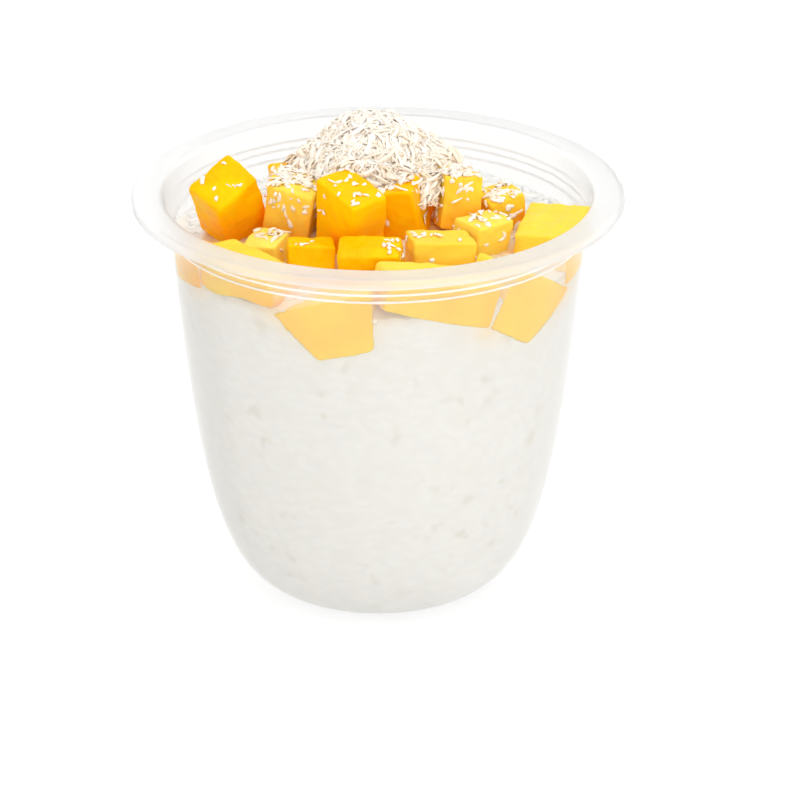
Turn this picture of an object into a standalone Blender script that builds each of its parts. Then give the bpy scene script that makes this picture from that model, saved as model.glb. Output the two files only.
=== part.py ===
"""Mango rice pudding in a clear dessert cup, topped with mango dice and shredded coconut.

The cup is a thin turned shell with a flat rim, a turned-down edge and a stacking step under the mouth.
The pudding fills it to a centimetre below the rim and is domed in the middle.
Each mango die is a convex block cut by leaning planes; the dice are moved apart until none touches.
The coconut is a mound with its shreds fused on, and a few loose shreds are fused to the dice.
Metres, +Z up, origin at the centre of the foot, the side shown in the photograph facing -Y.
"""

import itertools
import math

import bmesh
import bpy
import numpy as np
from mathutils import Euler, Matrix, Vector

MM = 0.001
GAP = 0.3 * MM                      # clearance between pieces that touch
GOLDEN_ANGLE = math.pi * (3 - math.sqrt(5))

# ---- Cup ---------------------------------------------------------------------------------------
CUP_HEIGHT = 81.6 * MM
RIM_RADIUS = 47.5 * MM
WALL = 0.6 * MM
TURN_SIDES = 48
FOOT_RADIUS = 16.9 * MM
FOOT_RING = 3.0 * MM                # width of the flat ring that it stands on
PUSH_UP = 1.2 * MM                  # how far the middle of the foot is pushed up
BODY_TOP_RADIUS = 40.1 * MM         # outside of the body, just under the stacking step
BODY_DRAFT = math.radians(4.9)      # lean of the wall under the step
FOOT_RISE = math.radians(4.2)       # lean of the bottom where it leaves the foot
FOOT_HANDLE = 13.7 * MM             # the two handles of the body's cubic curve
WALL_HANDLE = 56.8 * MM
BODY_POINTS = 11
BODY_BUNCH = 1.25                   # over 1 draws the points of the curve down to its tight bend
STEP_LOW = 7.9 * MM                 # depths of the stacking step below the rim
STEP_HIGH = 6.4 * MM
STEP_WIDTH = 0.8 * MM
MOUTH_RADIUS = 41.9 * MM            # outside of the wall, just under the rim
MOUTH_FILLET = 0.7 * MM
EDGE_FILLET = 0.8 * MM
EDGE_DROP = 1.8 * MM                # height of the turned-down edge

# ---- Pudding -----------------------------------------------------------------------------------
LEVEL_FRONT = 11.2 * MM             # depths of its edge below the rim
LEVEL_BACK = 9.0 * MM
DOME_HEIGHT = 4.0 * MM              # rise of its middle over its edge
GRAIN_BUMP = 0.3 * MM               # height of the grains that lie in its top
GRAIN_PITCH = 5.5 * MM
TOP_RINGS = 8

# ---- Mango dice --------------------------------------------------------------------------------
DIE_BEVEL = 0.9 * MM                # width of the softened edges
FACE_LEAN = 0.09                    # how far a cut face may lean, as a slope
SIZE_SPREAD = 0.05                  # how far a face may lie in or out, as a share of the half size
SETTLE_ROUNDS = 400
SINK_STEP = 0.08 * MM               # how far a die sinks in a round, at first
SINK_ROUNDS = 320                   # by which the sinking has faded away
SETTLE_SPARE = 0.01 * MM
PRESSED_REACH = 3.0 * MM            # a pocket is open this far towards the wall its die lies against
DIE_SEED = 11

# ---- Coconut -----------------------------------------------------------------------------------
HEAP_CENTRE = Vector((-1.2, 5.0)) * MM
HEAP_RADIUS = 16.5 * MM
HEAP_TOP = 12.5 * MM                # heights above the rim
HEAP_BASE = -1.0 * MM
HEAP_ROUND = 1.9                    # 1 is a cone, more is a rounder top
HEAP_WAVES = (0.08, 0.05, 0.06)     # how uneven its outline and its side are, as shares of its size
HEAP_SKIRT = 1.5 * MM               # how far its core reaches down below its edge
HEAP_RINGS = 5
HEAP_SIDES = 18
HEAP_SHREDS = 92
SHRED_LENGTH = (4.5 * MM, 8.0 * MM)
SHRED_WIDTH = 1.1 * MM
SHRED_THICK = 0.5 * MM
SHRED_BEND = 0.9 * MM
SHRED_LIFT = math.radians(16)       # how far an end may stand off the heap
LOOSE_LENGTH = (3.5 * MM, 6.0 * MM)
LOOSE_BEND = 0.1 * MM
LOOSE_SPREAD = 0.28                 # how far from a face's middle a shred may lie, as a share of the die
COCONUT_SEED = 5


class Die:
    """A block of mango: its middle and sizes in mm, its turn in degrees and how deep it sinks in mm.

    Loose is how many shreds may lie on it, flare how much its two X faces spread upwards, as slopes.
    """

    def __init__(self, name, at, size, turn, sink, loose=0, flare=(0, 0)):
        self.name = name
        self.at = np.array([at[0], at[1], 0.0]) * MM
        self.size = np.array(size) * MM
        self.turn = np.array(Euler([math.radians(a) for a in turn]).to_matrix())
        self.sink = sink * MM
        self.loose = loose
        self.flare = flare
        self.shreds = []

    def cut(self, rng):
        """Cuts the block's six faces, each a plane that leans a little and lies a little in or out."""
        normals = rng.uniform(-FACE_LEAN, FACE_LEAN, (6, 3))
        sides = np.vstack([np.eye(3), -np.eye(3)])
        normals = np.where(sides != 0, sides, normals)
        normals[[3, 0], 2] -= self.flare
        normals /= np.linalg.norm(normals, axis=1)[:, None]
        self.normals = normals @ self.turn.T
        self.reaches = np.tile(self.size / 2, 2) * rng.uniform(1 - SIZE_SPREAD, 1 + SIZE_SPREAD, 6)
        edges = np.array([np.cross(a, b) for a, b in itertools.combinations(self.normals, 2)])
        self.edges = edges[np.linalg.norm(edges, axis=1) > 0.5]
        self.shape = self.corners()
        self.place = self.at + (0, 0, self.bed())

    def corners(self, grow=0.0):
        """The corners about the block's middle, where three faces meet and none of the others cuts them off."""
        reaches = self.reaches + grow
        found = []
        for trio in itertools.combinations(range(6), 3):
            planes = self.normals[list(trio)]
            if abs(np.linalg.det(planes)) > 0.3:
                corner = np.linalg.solve(planes, reaches[list(trio)])
                if (self.normals @ corner < reaches + 0.001 * MM).all():
                    found.append(corner)
        return np.array(found)

    def pocket(self):
        """The corners of the pocket that it lies in: a gap larger all round, and open to a wall it touches."""
        outward = self.at / np.linalg.norm(self.at)
        pressed = (self.normals @ outward > 0.9) & ("wall" in self.name)
        return self.corners(GAP + PRESSED_REACH * pressed) + self.place

    def clear_of(self, points, clearance):
        """Whether all the points lie outside the block by a clearance."""
        out = (np.array(points) - self.place) @ self.normals.T - self.reaches
        return (out.max(1) > clearance).all()

    def bed(self):
        """The height of its middle when it lies as deep in the pudding as it should."""
        return pudding_level(self.at[0], self.at[1]) - self.sink - self.shape[:, 2].min()

    def over_wall(self, wall):
        """How far its corners reach past the cup's inner wall, which is (radius, height) going up."""
        corners = self.shape + self.place
        reach = np.hypot(corners[:, 0], corners[:, 1])
        return (reach - np.interp(corners[:, 2], wall[:, 1], wall[:, 0])).max()


class Pair:
    """Two dice, and the clearance between them by the separating axis rule."""

    def __init__(self, one, two):
        self.one, self.two = one, two
        crossed = np.cross(one.edges[:, None], two.edges[None]).reshape(-1, 3)
        crossed = crossed[np.linalg.norm(crossed, axis=1) > 0.01]
        axes = np.vstack([one.normals, two.normals, crossed])
        self.axes = axes / np.linalg.norm(axes, axis=1)[:, None]
        mine, theirs = one.shape @ self.axes.T, two.shape @ self.axes.T
        self.ahead = mine.max(0) - theirs.min(0)
        self.behind = theirs.max(0) - mine.min(0)

    def clearance(self):
        """The clearance, below zero where they overlap, and the way to move the second die to add to it."""
        run = (self.two.place - self.one.place) @ self.axes.T
        apart = np.maximum(run - self.ahead, -run - self.behind)
        best = apart.argmax()
        sign = 1.0 if run[best] - self.ahead[best] >= -run[best] - self.behind[best] else -1.0
        return apart[best], sign * self.axes[best]


def against_wall(angle, reach):
    """The place of a die at an angle in degrees from the front towards +X, at a reach in mm."""
    a = math.radians(angle)
    return (reach * math.sin(a), -reach * math.cos(a))


# The row pressed against the front of the cup, then the rows behind it and the pieces at the back.
DICE = [
    Die("mango_wall_1", against_wall(-62, 34.3), (11, 6.5, 6), (0, -6, -66), 5.0),
    Die("mango_wall_2", against_wall(-39.6, 33.7), (15, 6.5, 6.5), (0, 8, -41), 4.0),
    Die("mango_wall_3", against_wall(-12.4, 34.0), (12, 7.5, 12), (0, -19.5, -12.2), 10.8, flare=(0.5, 0.35)),
    Die("mango_wall_4", against_wall(20.3, 34.9), (19.5, 6.5, 8.5), (0, 12, 19), 5.3),
    Die("mango_wall_5", against_wall(43.7, 34.9), (13.5, 6.5, 10), (0, 30.5, 47), 11.2, flare=(0.1, 0.59)),
    Die("mango_wall_6", against_wall(65.7, 32.4), (13, 9, 10), (0, -4, 72), 4.7, loose=1),
    Die("mango_row_1", (-16.9, -17.0), (7.5, 7.5, 7), (4, -6, -24), 3.2, loose=3),
    Die("mango_row_2", (-11.1, -21.2), (8.5, 7.5, 8), (-6, 4, 8), 3.2, loose=1),
    Die("mango_row_3", (0.3, -24.4), (12, 7.5, 7.5), (8, -4, -4), 2.6, loose=2),
    Die("mango_row_4", (12.9, -21.6), (11.5, 8, 8), (-4, 5, 18), 2.6, loose=2),
    Die("mango_row_5", (20.9, -13.0), (8.5, 7.5, 8), (6, 5, 40), 2.6, loose=1),
    Die("mango_left", (-24.0, -6.6), (9.9, 9.4, 16), (20, -29, 37), 3.0, loose=1),
    Die("mango_mid_1", (-20.8, -3.3), (9.2, 8.5, 12.2), (6, 8, -16), 1.8, loose=3),
    Die("mango_mid_2", (-8.8, -16.7), (8.8, 10.6, 13.5), (14, -5, 40), 1.6, loose=2),
    Die("mango_mid_3", (7.7, -9.0), (9, 8.5, 11), (5, -6, -10), 1.2, loose=1),
    Die("mango_mid_4", (12.4, -5.4), (7.2, 8.5, 11), (-5, 7, 14), 1.4, loose=2),
    Die("mango_mid_5", (16.8, -3.2), (6.8, 7.5, 7.5), (7, -6, 24), 2.2, loose=1),
    Die("mango_back_1", (-14.0, 7.0), (10, 9.5, 9.5), (-5, -5, 12), 2.6, loose=3),
    Die("mango_back_2", (-3.0, 3.0), (10, 9.5, 10.5), (5, 6, -14), 1.5),
    Die("mango_back_3", (8.5, 5.0), (9.5, 9.5, 10), (-6, -4, 20), 1.5),
    Die("mango_back_4", (-6.5, 14.5), (9.5, 9.5, 9), (6, 4, 30), 1.6, loose=1),
    Die("mango_back_5", (5.0, 15.5), (9.5, 9, 9), (-5, -7, -12), 1.6, loose=1),
]


def clear_scene():
    """Removes what the new file starts with."""
    for obj in list(bpy.data.objects):
        bpy.data.objects.remove(obj)


def finish(name, colour, roughness, alpha=1.0, transmission=0.0):
    """A plain material: its colour, how rough it is, how much shows through it."""
    material = bpy.data.materials.new(name)
    material.use_nodes = True
    shader = material.node_tree.nodes["Principled BSDF"]
    shader.inputs["Base Color"].default_value = (*colour, 1.0)
    shader.inputs["Roughness"].default_value = roughness
    shader.inputs["Metallic"].default_value = 0.0
    shader.inputs["Alpha"].default_value = alpha
    shader.inputs["Transmission Weight"].default_value = transmission
    material.diffuse_color = (*colour, alpha)
    return material


def add_object(name, bm, material):
    """Makes an object of a mesh under construction, which is used up."""
    mesh = bpy.data.meshes.new(name)
    bm.to_mesh(mesh)
    bm.free()
    mesh.materials.append(material)
    obj = bpy.data.objects.new(name, mesh)
    bpy.context.scene.collection.objects.link(obj)
    return obj


def shade_round(obj, angle=35.0):
    """Shades an object smooth, with a sharp crease where faces meet at more than an angle in degrees."""
    obj.data.shade_smooth()
    obj.data.set_sharp_from_angle(angle=math.radians(angle))


# ---- Cup ---------------------------------------------------------------------------------------
def arc(centre, radius, start, end, count=4):
    """Points on a circle from a start to an end angle in degrees."""
    angles = np.radians(np.linspace(start, end, count))
    return [(centre[0] + radius * math.cos(a), centre[1] + radius * math.sin(a)) for a in angles]


def body_curve():
    """The body from its foot to the stacking step: one cubic curve, set by its two end leans."""
    top = np.array([BODY_TOP_RADIUS, CUP_HEIGHT - STEP_LOW])
    foot = np.array([FOOT_RADIUS, 0.0])
    low = foot + FOOT_HANDLE * np.array([math.cos(FOOT_RISE), math.sin(FOOT_RISE)])
    high = top - WALL_HANDLE * np.array([math.sin(BODY_DRAFT), math.cos(BODY_DRAFT)])
    t = np.linspace(0, 1, BODY_POINTS)[:, None] ** BODY_BUNCH
    curve = (1 - t) ** 3 * foot + 3 * (1 - t) ** 2 * t * low + 3 * (1 - t) * t ** 2 * high + t ** 3 * top
    return [tuple(p) for p in curve]


def cup_line():
    """The cup's outside, from the middle of the foot to the hem of the turned-down edge, as (radius, height)."""
    under = CUP_HEIGHT - WALL
    ring = FOOT_RADIUS - FOOT_RING
    line = [(0.0, PUSH_UP), (ring - PUSH_UP, PUSH_UP), (ring, 0.0)]
    line += body_curve()
    line.append((BODY_TOP_RADIUS + STEP_WIDTH, CUP_HEIGHT - STEP_HIGH))
    line += arc((MOUTH_RADIUS + MOUTH_FILLET, under - MOUTH_FILLET), MOUTH_FILLET, 180, 90)
    edge = RIM_RADIUS - WALL - EDGE_FILLET
    line += arc((edge, under - EDGE_FILLET), EDGE_FILLET, 90, 0)
    line.append((RIM_RADIUS - WALL, CUP_HEIGHT - EDGE_DROP))
    return np.array(line)


def offset(line, distance):
    """A line moved to its left by a distance, with its corners mitred."""
    run = np.diff(line, axis=0)
    run /= np.linalg.norm(run, axis=1)[:, None]
    left = np.column_stack([-run[:, 1], run[:, 0]])
    before = np.vstack([left[:1], left])
    after = np.vstack([left, left[-1:]])
    mean = before + after
    mean /= np.linalg.norm(mean, axis=1)[:, None]
    return line + mean * (distance / (mean * before).sum(1))[:, None]


def inside_wall(line, clearance):
    """The inner wall above the foot, kept clear by a distance, as (radius, height) going up."""
    inner = offset(line, WALL + clearance)
    first = 3
    last = first + BODY_POINTS
    return inner[first:last]


def turned(loop):
    """A mesh turned about the Z axis from a run of (radius, height) points that starts and ends on it."""
    bm = bmesh.new()
    points = [bm.verts.new((r, 0.0, z)) for r, z in loop]
    edges = [bm.edges.new(pair) for pair in zip(points, points[1:])]
    bmesh.ops.spin(bm, geom=points + edges, axis=(0, 0, 1), cent=(0, 0, 0),
                   angle=math.tau, steps=TURN_SIDES)
    bmesh.ops.remove_doubles(bm, verts=bm.verts, dist=0.001 * MM)
    bmesh.ops.recalc_face_normals(bm, faces=bm.faces)
    return bm


def make_cup(line, material):
    """The clear cup: its outside, and the same line moved in by the wall's thickness."""
    loop = np.vstack([line, offset(line, WALL)[::-1]])
    cup = add_object("cup", turned(loop), material)
    shade_round(cup)
    return cup


# ---- Pudding -----------------------------------------------------------------------------------
def pudding_level(x, y):
    """Height of the pudding's top: it leans up to the back, is domed, and has bumps the size of grains."""
    edge = (LEVEL_FRONT + LEVEL_BACK) / 2 - (LEVEL_FRONT - LEVEL_BACK) / 2 * y / BODY_TOP_RADIUS
    dome = DOME_HEIGHT * max(0.0, 1 - (x * x + y * y) / BODY_TOP_RADIUS ** 2)
    turn = math.tau / GRAIN_PITCH
    bump = math.sin(turn * x + 2 * math.sin(turn * y / 3)) * math.sin(turn * y + 2 * math.sin(turn * x / 4))
    return CUP_HEIGHT - edge + dome + GRAIN_BUMP * bump


def make_pudding(line, material):
    """The pudding: the cup's inside less a small gap, under a grainy top."""
    inner = offset(line, WALL + GAP)
    wall = inside_wall(line, GAP)
    low = CUP_HEIGHT - LEVEL_FRONT - 2 * GRAIN_BUMP
    sides = [p for p in inner[:3 + BODY_POINTS] if p[1] < low]
    edge_radius = np.interp(low, wall[:, 1], wall[:, 0])
    top = [(edge_radius * (1 - i / TOP_RINGS), CUP_HEIGHT) for i in range(TOP_RINGS + 1)]
    bm = turned(sides + top)
    for vert in bm.verts:
        if vert.co.z > low:
            x, y = vert.co.xy
            vert.co.z = pudding_level(x, y)
            if math.hypot(x, y) > edge_radius - GRAIN_BUMP:
                vert.co.xy *= np.interp(vert.co.z, wall[:, 1], wall[:, 0]) / math.hypot(x, y)
    bmesh.ops.triangulate(bm, faces=bm.faces)
    pudding = add_object("pudding", bm, material)
    return pudding


# ---- Joining and cutting -----------------------------------------------------------------------
def combine(obj, tools, operation, solver="EXACT"):
    """Joins or cuts an object with all the tools at once, applies it and removes the tools."""
    group = bpy.data.collections.new("tools")
    bpy.context.scene.collection.children.link(group)
    for tool in tools:
        bpy.context.scene.collection.objects.unlink(tool)
        group.objects.link(tool)
    modifier = obj.modifiers.new("join", "BOOLEAN")
    modifier.operation = operation
    modifier.operand_type = "COLLECTION"
    modifier.collection = group
    modifier.solver = solver
    bpy.context.view_layer.update()
    shown = obj.evaluated_get(bpy.context.evaluated_depsgraph_get())
    mesh = bpy.data.meshes.new_from_object(shown)
    obj.modifiers.clear()
    obj.data = mesh
    for tool in tools:
        bpy.data.objects.remove(tool)
    bpy.data.collections.remove(group)
    keep_largest(obj)


def keep_largest(obj):
    """Keeps an object's largest connected body and drops loose scraps."""
    bm = bmesh.new()
    bm.from_mesh(obj.data)
    left = set(bm.verts)
    bodies = []
    while left:
        stack = [left.pop()]
        body = set(stack)
        while stack:
            for edge in stack.pop().link_edges:
                for vert in edge.verts:
                    if vert in left:
                        left.remove(vert)
                        body.add(vert)
                        stack.append(vert)
        bodies.append(body)
    bodies.sort(key=len)
    scraps = [vert for body in bodies[:-1] for vert in body]
    bmesh.ops.delete(bm, geom=scraps, context="VERTS")
    bmesh.ops.triangulate(bm, faces=bm.faces)
    bm.to_mesh(obj.data)
    bm.free()


# ---- Mango dice --------------------------------------------------------------------------------
def hull(points):
    """The closed convex mesh round some points, with its flat faces whole."""
    bm = bmesh.new()
    for point in points:
        bm.verts.new(point)
    bmesh.ops.convex_hull(bm, input=bm.verts)
    bmesh.ops.dissolve_limit(bm, angle_limit=math.radians(1), verts=bm.verts, edges=bm.edges)
    bmesh.ops.recalc_face_normals(bm, faces=bm.faces)
    return bm


def set_down(line):
    """Cuts the dice, starts each where it should lie, and moves them apart until none touches.

    Each round moves the two dice of a pair that lie too close apart by half of what is missing, draws
    a die off the wall, and lets it sink a little towards its bed, below which none goes.
    """
    wall = inside_wall(line, GAP)
    wall = np.vstack([wall, [(wall[-1, 0], CUP_HEIGHT)]])
    for index, die in enumerate(DICE):
        die.cut(np.random.default_rng([DIE_SEED, index]))
    pairs = [Pair(one, two) for one, two in itertools.combinations(DICE, 2)]
    for step in range(SETTLE_ROUNDS):
        sinking = SINK_STEP * max(0.0, 1 - step / SINK_ROUNDS)
        for die in DICE:
            die.place[2] = max(die.bed(), die.place[2] - sinking)
        for pair in pairs:
            clearance, way = pair.clearance()
            if clearance < GAP:
                move = way * (GAP - clearance + SETTLE_SPARE) / 2
                pair.one.place = pair.one.place - move
                pair.two.place = pair.two.place + move
        for die in DICE:
            over = die.over_wall(wall)
            if over > 0:
                outward = die.place * (1, 1, 0)
                die.place = die.place - outward * over / np.linalg.norm(outward)
    return DICE


def make_die(die, material):
    """One die with softened edges, and its loose shreds fused on."""
    bm = hull(die.shape)
    bmesh.ops.bevel(bm, geom=bm.edges, offset=DIE_BEVEL, segments=1, affect="EDGES")
    bm.transform(Matrix.Translation(die.place))
    obj = add_object(die.name, bm, material)
    if die.shreds:
        combine(obj, [add_shred(*shred, LOOSE_BEND, material) for shred in die.shreds], "UNION")
    return obj


def grown(die, material):
    """A cutter the shape of a die and a small gap larger all round."""
    cutter = add_object("cutter", hull(die.pocket()), material)
    cutter.hide_render = True
    cutter.display_type = "WIRE"
    return cutter


# ---- Coconut -----------------------------------------------------------------------------------
def shred_mesh(length, bend, grow=0.0):
    """A strip along X: three stations of a rectangle, the middle one raised by the bend."""
    bm = bmesh.new()
    stations = []
    end = length / 2 + grow
    for x, lift in ((-end, 0.0), (0.0, bend), (end, 0.0)):
        w, t = SHRED_WIDTH / 2 + grow, SHRED_THICK / 2 + grow
        corners = ((-w, -t), (w, -t), (w, t), (-w, t))
        stations.append([bm.verts.new((x, y, z + lift)) for y, z in corners])
    for here, there in zip(stations, stations[1:]):
        for i in range(4):
            j = (i + 1) % 4
            bm.faces.new((here[i], there[i], there[j], here[j]))
    bm.faces.new(stations[0])
    bm.faces.new(stations[-1][::-1])
    bmesh.ops.recalc_face_normals(bm, faces=bm.faces)
    return bm


def lying(place, normal, heading):
    """The placement of a shred at a place on a surface, turned about the normal to its heading."""
    turn = Vector((0, 0, 1)).rotation_difference(Vector(normal)).to_matrix().to_4x4()
    return Matrix.Translation(place) @ turn @ Matrix.Rotation(heading, 4, "Z")


def add_shred(placement, length, bend, material, grow=0.0):
    """A shred as an object, to be joined to what it lies on."""
    bm = shred_mesh(length, bend, grow)
    bm.transform(placement)
    return add_object("shred", bm, material)


def scatter_shreds(dice):
    """Picks where loose shreds lie on the dice's upper faces, leaving out those that would touch another."""
    rng = np.random.default_rng(COCONUT_SEED)
    for die in dice:
        face = die.normals[:, 2].argmax()
        normal = die.normals[face]
        for _ in range(die.loose):
            shift = rng.uniform(-LOOSE_SPREAD, LOOSE_SPREAD, 3) * die.size
            shift -= normal * (shift @ normal)
            place = die.place + normal * die.reaches[face] + shift
            placement = lying(place, normal, rng.uniform(0, math.pi))
            length = rng.uniform(*LOOSE_LENGTH)
            points = [placement @ Vector((x * length, 0, 0)) for x in (-0.5, 0, 0.5)]
            others = [d for d in dice if d is not die]
            if all(d.clear_of(points, GAP + SHRED_WIDTH / 2) for d in others):
                die.shreds.append((placement, length))


def heap_height(x, y):
    """Height of the coconut mound at a place: a round top over an uneven side."""
    dx, dy = x - HEAP_CENTRE.x, y - HEAP_CENTRE.y
    angle = math.atan2(dy, dx)
    broad, fine, side = HEAP_WAVES
    reach = HEAP_RADIUS * (1 + broad * math.sin(3 * angle + 1) + fine * math.sin(5 * angle))
    t = min(1.0, math.hypot(dx, dy) / reach)
    profile = 1 - t ** HEAP_ROUND
    bump = side * math.sin(9 * t + 2 * angle) * t
    return CUP_HEIGHT + HEAP_BASE + (HEAP_TOP - HEAP_BASE) * max(0.0, profile + bump)


def heap_core():
    """The mound's closed core: rings of points on its side, down to a skirt below its edge."""
    bm = bmesh.new()
    base = CUP_HEIGHT + HEAP_BASE
    centre = bm.verts.new((*HEAP_CENTRE, heap_height(*HEAP_CENTRE)))
    rings = []
    for ring in range(1, HEAP_RINGS + 1):
        points = []
        for side in range(HEAP_SIDES):
            angle = math.tau * (side + 0.5 * (ring % 2)) / HEAP_SIDES
            reach = HEAP_RADIUS * ring / HEAP_RINGS
            x = HEAP_CENTRE.x + reach * math.cos(angle)
            y = HEAP_CENTRE.y + reach * math.sin(angle)
            points.append(bm.verts.new((x, y, heap_height(x, y))))
        rings.append(points)
    foot = [bm.verts.new((v.co.x, v.co.y, base - HEAP_SKIRT)) for v in rings[-1]]
    rings.append(foot)
    for i in range(HEAP_SIDES):
        j = (i + 1) % HEAP_SIDES
        bm.faces.new((centre, rings[0][i], rings[0][j]))
        for inner, outer in zip(rings, rings[1:]):
            bm.faces.new((inner[i], outer[i], outer[j], inner[j]))
    bm.faces.new(foot)
    bmesh.ops.recalc_face_normals(bm, faces=bm.faces)
    bmesh.ops.triangulate(bm, faces=bm.faces)
    return bm


def make_heap(dice, material):
    """The coconut: an uneven mound, its shreds fused on by a sunflower rule, cut clear of the dice."""
    rng = np.random.default_rng(COCONUT_SEED)
    heap = add_object("coconut_heap", heap_core(), material)
    shreds = []
    for i in range(HEAP_SHREDS):
        reach = HEAP_RADIUS * math.sqrt((i + 0.5) / HEAP_SHREDS)
        x = HEAP_CENTRE.x + reach * math.cos(i * GOLDEN_ANGLE)
        y = HEAP_CENTRE.y + reach * math.sin(i * GOLDEN_ANGLE)
        step = 0.5 * MM
        slope = Vector((heap_height(x - step, y) - heap_height(x + step, y),
                        heap_height(x, y - step) - heap_height(x, y + step), 2 * step)).normalized()
        lean = Vector(rng.uniform(-1, 1, 3)) * math.tan(SHRED_LIFT)
        place = Vector((x, y, heap_height(x, y) + rng.uniform(-0.1, 0.25) * MM))
        placement = lying(place, (slope + lean).normalized(), rng.uniform(0, math.pi))
        bend = rng.uniform(-1, 1) * SHRED_BEND
        shreds.append(add_shred(placement, rng.uniform(*SHRED_LENGTH), bend, material))
    combine(heap, shreds, "UNION")
    cutters = [grown(die, material) for die in dice]
    cutters += [add_shred(*shred, LOOSE_BEND, material, GAP) for die in dice for shred in die.shreds]
    combine(heap, cutters, "DIFFERENCE")
    return heap


def main():
    """Builds the cup and what is in it."""
    clear_scene()
    clear_plastic = finish("cup_plastic", (0.93, 0.94, 0.95), 0.08, alpha=0.3, transmission=0.9)
    rice = finish("rice_pudding", (0.86, 0.84, 0.79), 0.45)
    mango = finish("mango_flesh", (0.95, 0.5, 0.02), 0.3)
    coconut = finish("coconut_shreds", (0.92, 0.85, 0.72), 0.6)
    line = cup_line()
    make_cup(line, clear_plastic)
    pudding = make_pudding(line, rice)
    dice = set_down(line)
    combine(pudding, [grown(die, rice) for die in dice], "DIFFERENCE")
    scatter_shreds(dice)
    for die in dice:
        make_die(die, mango)
    make_heap(dice, coconut)


main()
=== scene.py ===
"""Mango rice pudding in a clear dessert cup: its looks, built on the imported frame.

The cup, the pudding, each mango die and the coconut are finer surfaces that stand for their CAD
nodes. All of them are worked out with numpy, in metres, with +Z up. The side that the photograph
shows faces -Y.
"""

import logging
import math
from dataclasses import dataclass, field
from enum import Enum

import bpy
import numpy as np
from mathutils import Euler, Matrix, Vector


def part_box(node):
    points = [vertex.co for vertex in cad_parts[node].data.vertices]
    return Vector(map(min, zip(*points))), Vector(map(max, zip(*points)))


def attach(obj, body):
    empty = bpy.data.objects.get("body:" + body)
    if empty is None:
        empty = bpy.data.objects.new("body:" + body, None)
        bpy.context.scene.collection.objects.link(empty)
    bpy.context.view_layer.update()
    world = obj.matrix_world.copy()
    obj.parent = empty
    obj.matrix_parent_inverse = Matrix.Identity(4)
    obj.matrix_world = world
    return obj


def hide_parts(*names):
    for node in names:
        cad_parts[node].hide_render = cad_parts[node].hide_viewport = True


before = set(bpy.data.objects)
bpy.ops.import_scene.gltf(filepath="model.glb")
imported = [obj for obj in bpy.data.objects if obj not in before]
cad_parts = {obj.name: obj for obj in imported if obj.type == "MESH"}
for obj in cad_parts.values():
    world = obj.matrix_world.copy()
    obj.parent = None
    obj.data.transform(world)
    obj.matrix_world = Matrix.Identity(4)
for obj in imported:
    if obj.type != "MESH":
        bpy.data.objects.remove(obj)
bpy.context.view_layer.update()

MM = 0.001
CUP_HEIGHT = 81.6 * MM
CAMERA_WIDTH = 800                  # width of the picture, in pixels
UPWARDS = (0.0, 0.0, 1.0)
Socket = bpy.types.NodeSocket
log = logging.getLogger("pudding")


class Slot(Enum):
    """The record's material slots."""

    CUP = "cup_plastic"
    PUDDING = "rice_pudding"
    MANGO = "mango_flesh"
    COCONUT = "coconut_shreds"


# ---- Shader maths ------------------------------------------------------------------------------
class Wire:
    """One output of a shader node, on which Python's operators work by adding Math nodes."""

    def __init__(self, bench: "Bench", socket: Socket) -> None:
        """Holds the output and the bench that its node stands on."""
        self.bench = bench
        self.socket = socket

    def maths(self, operation: str, *others: "Wire | float") -> "Wire":
        """A Math node that works on this wire and the others."""
        inputs = dict(enumerate((self, *others)))
        return self.bench.node("ShaderNodeMath", {"operation": operation}, inputs)

    def __add__(self, other: "Wire | float") -> "Wire":
        """The sum."""
        return self.maths("ADD", other)

    def __mul__(self, other: "Wire | float") -> "Wire":
        """The product."""
        return self.maths("MULTIPLY", other)

    __radd__ = __add__
    __rmul__ = __mul__


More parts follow.
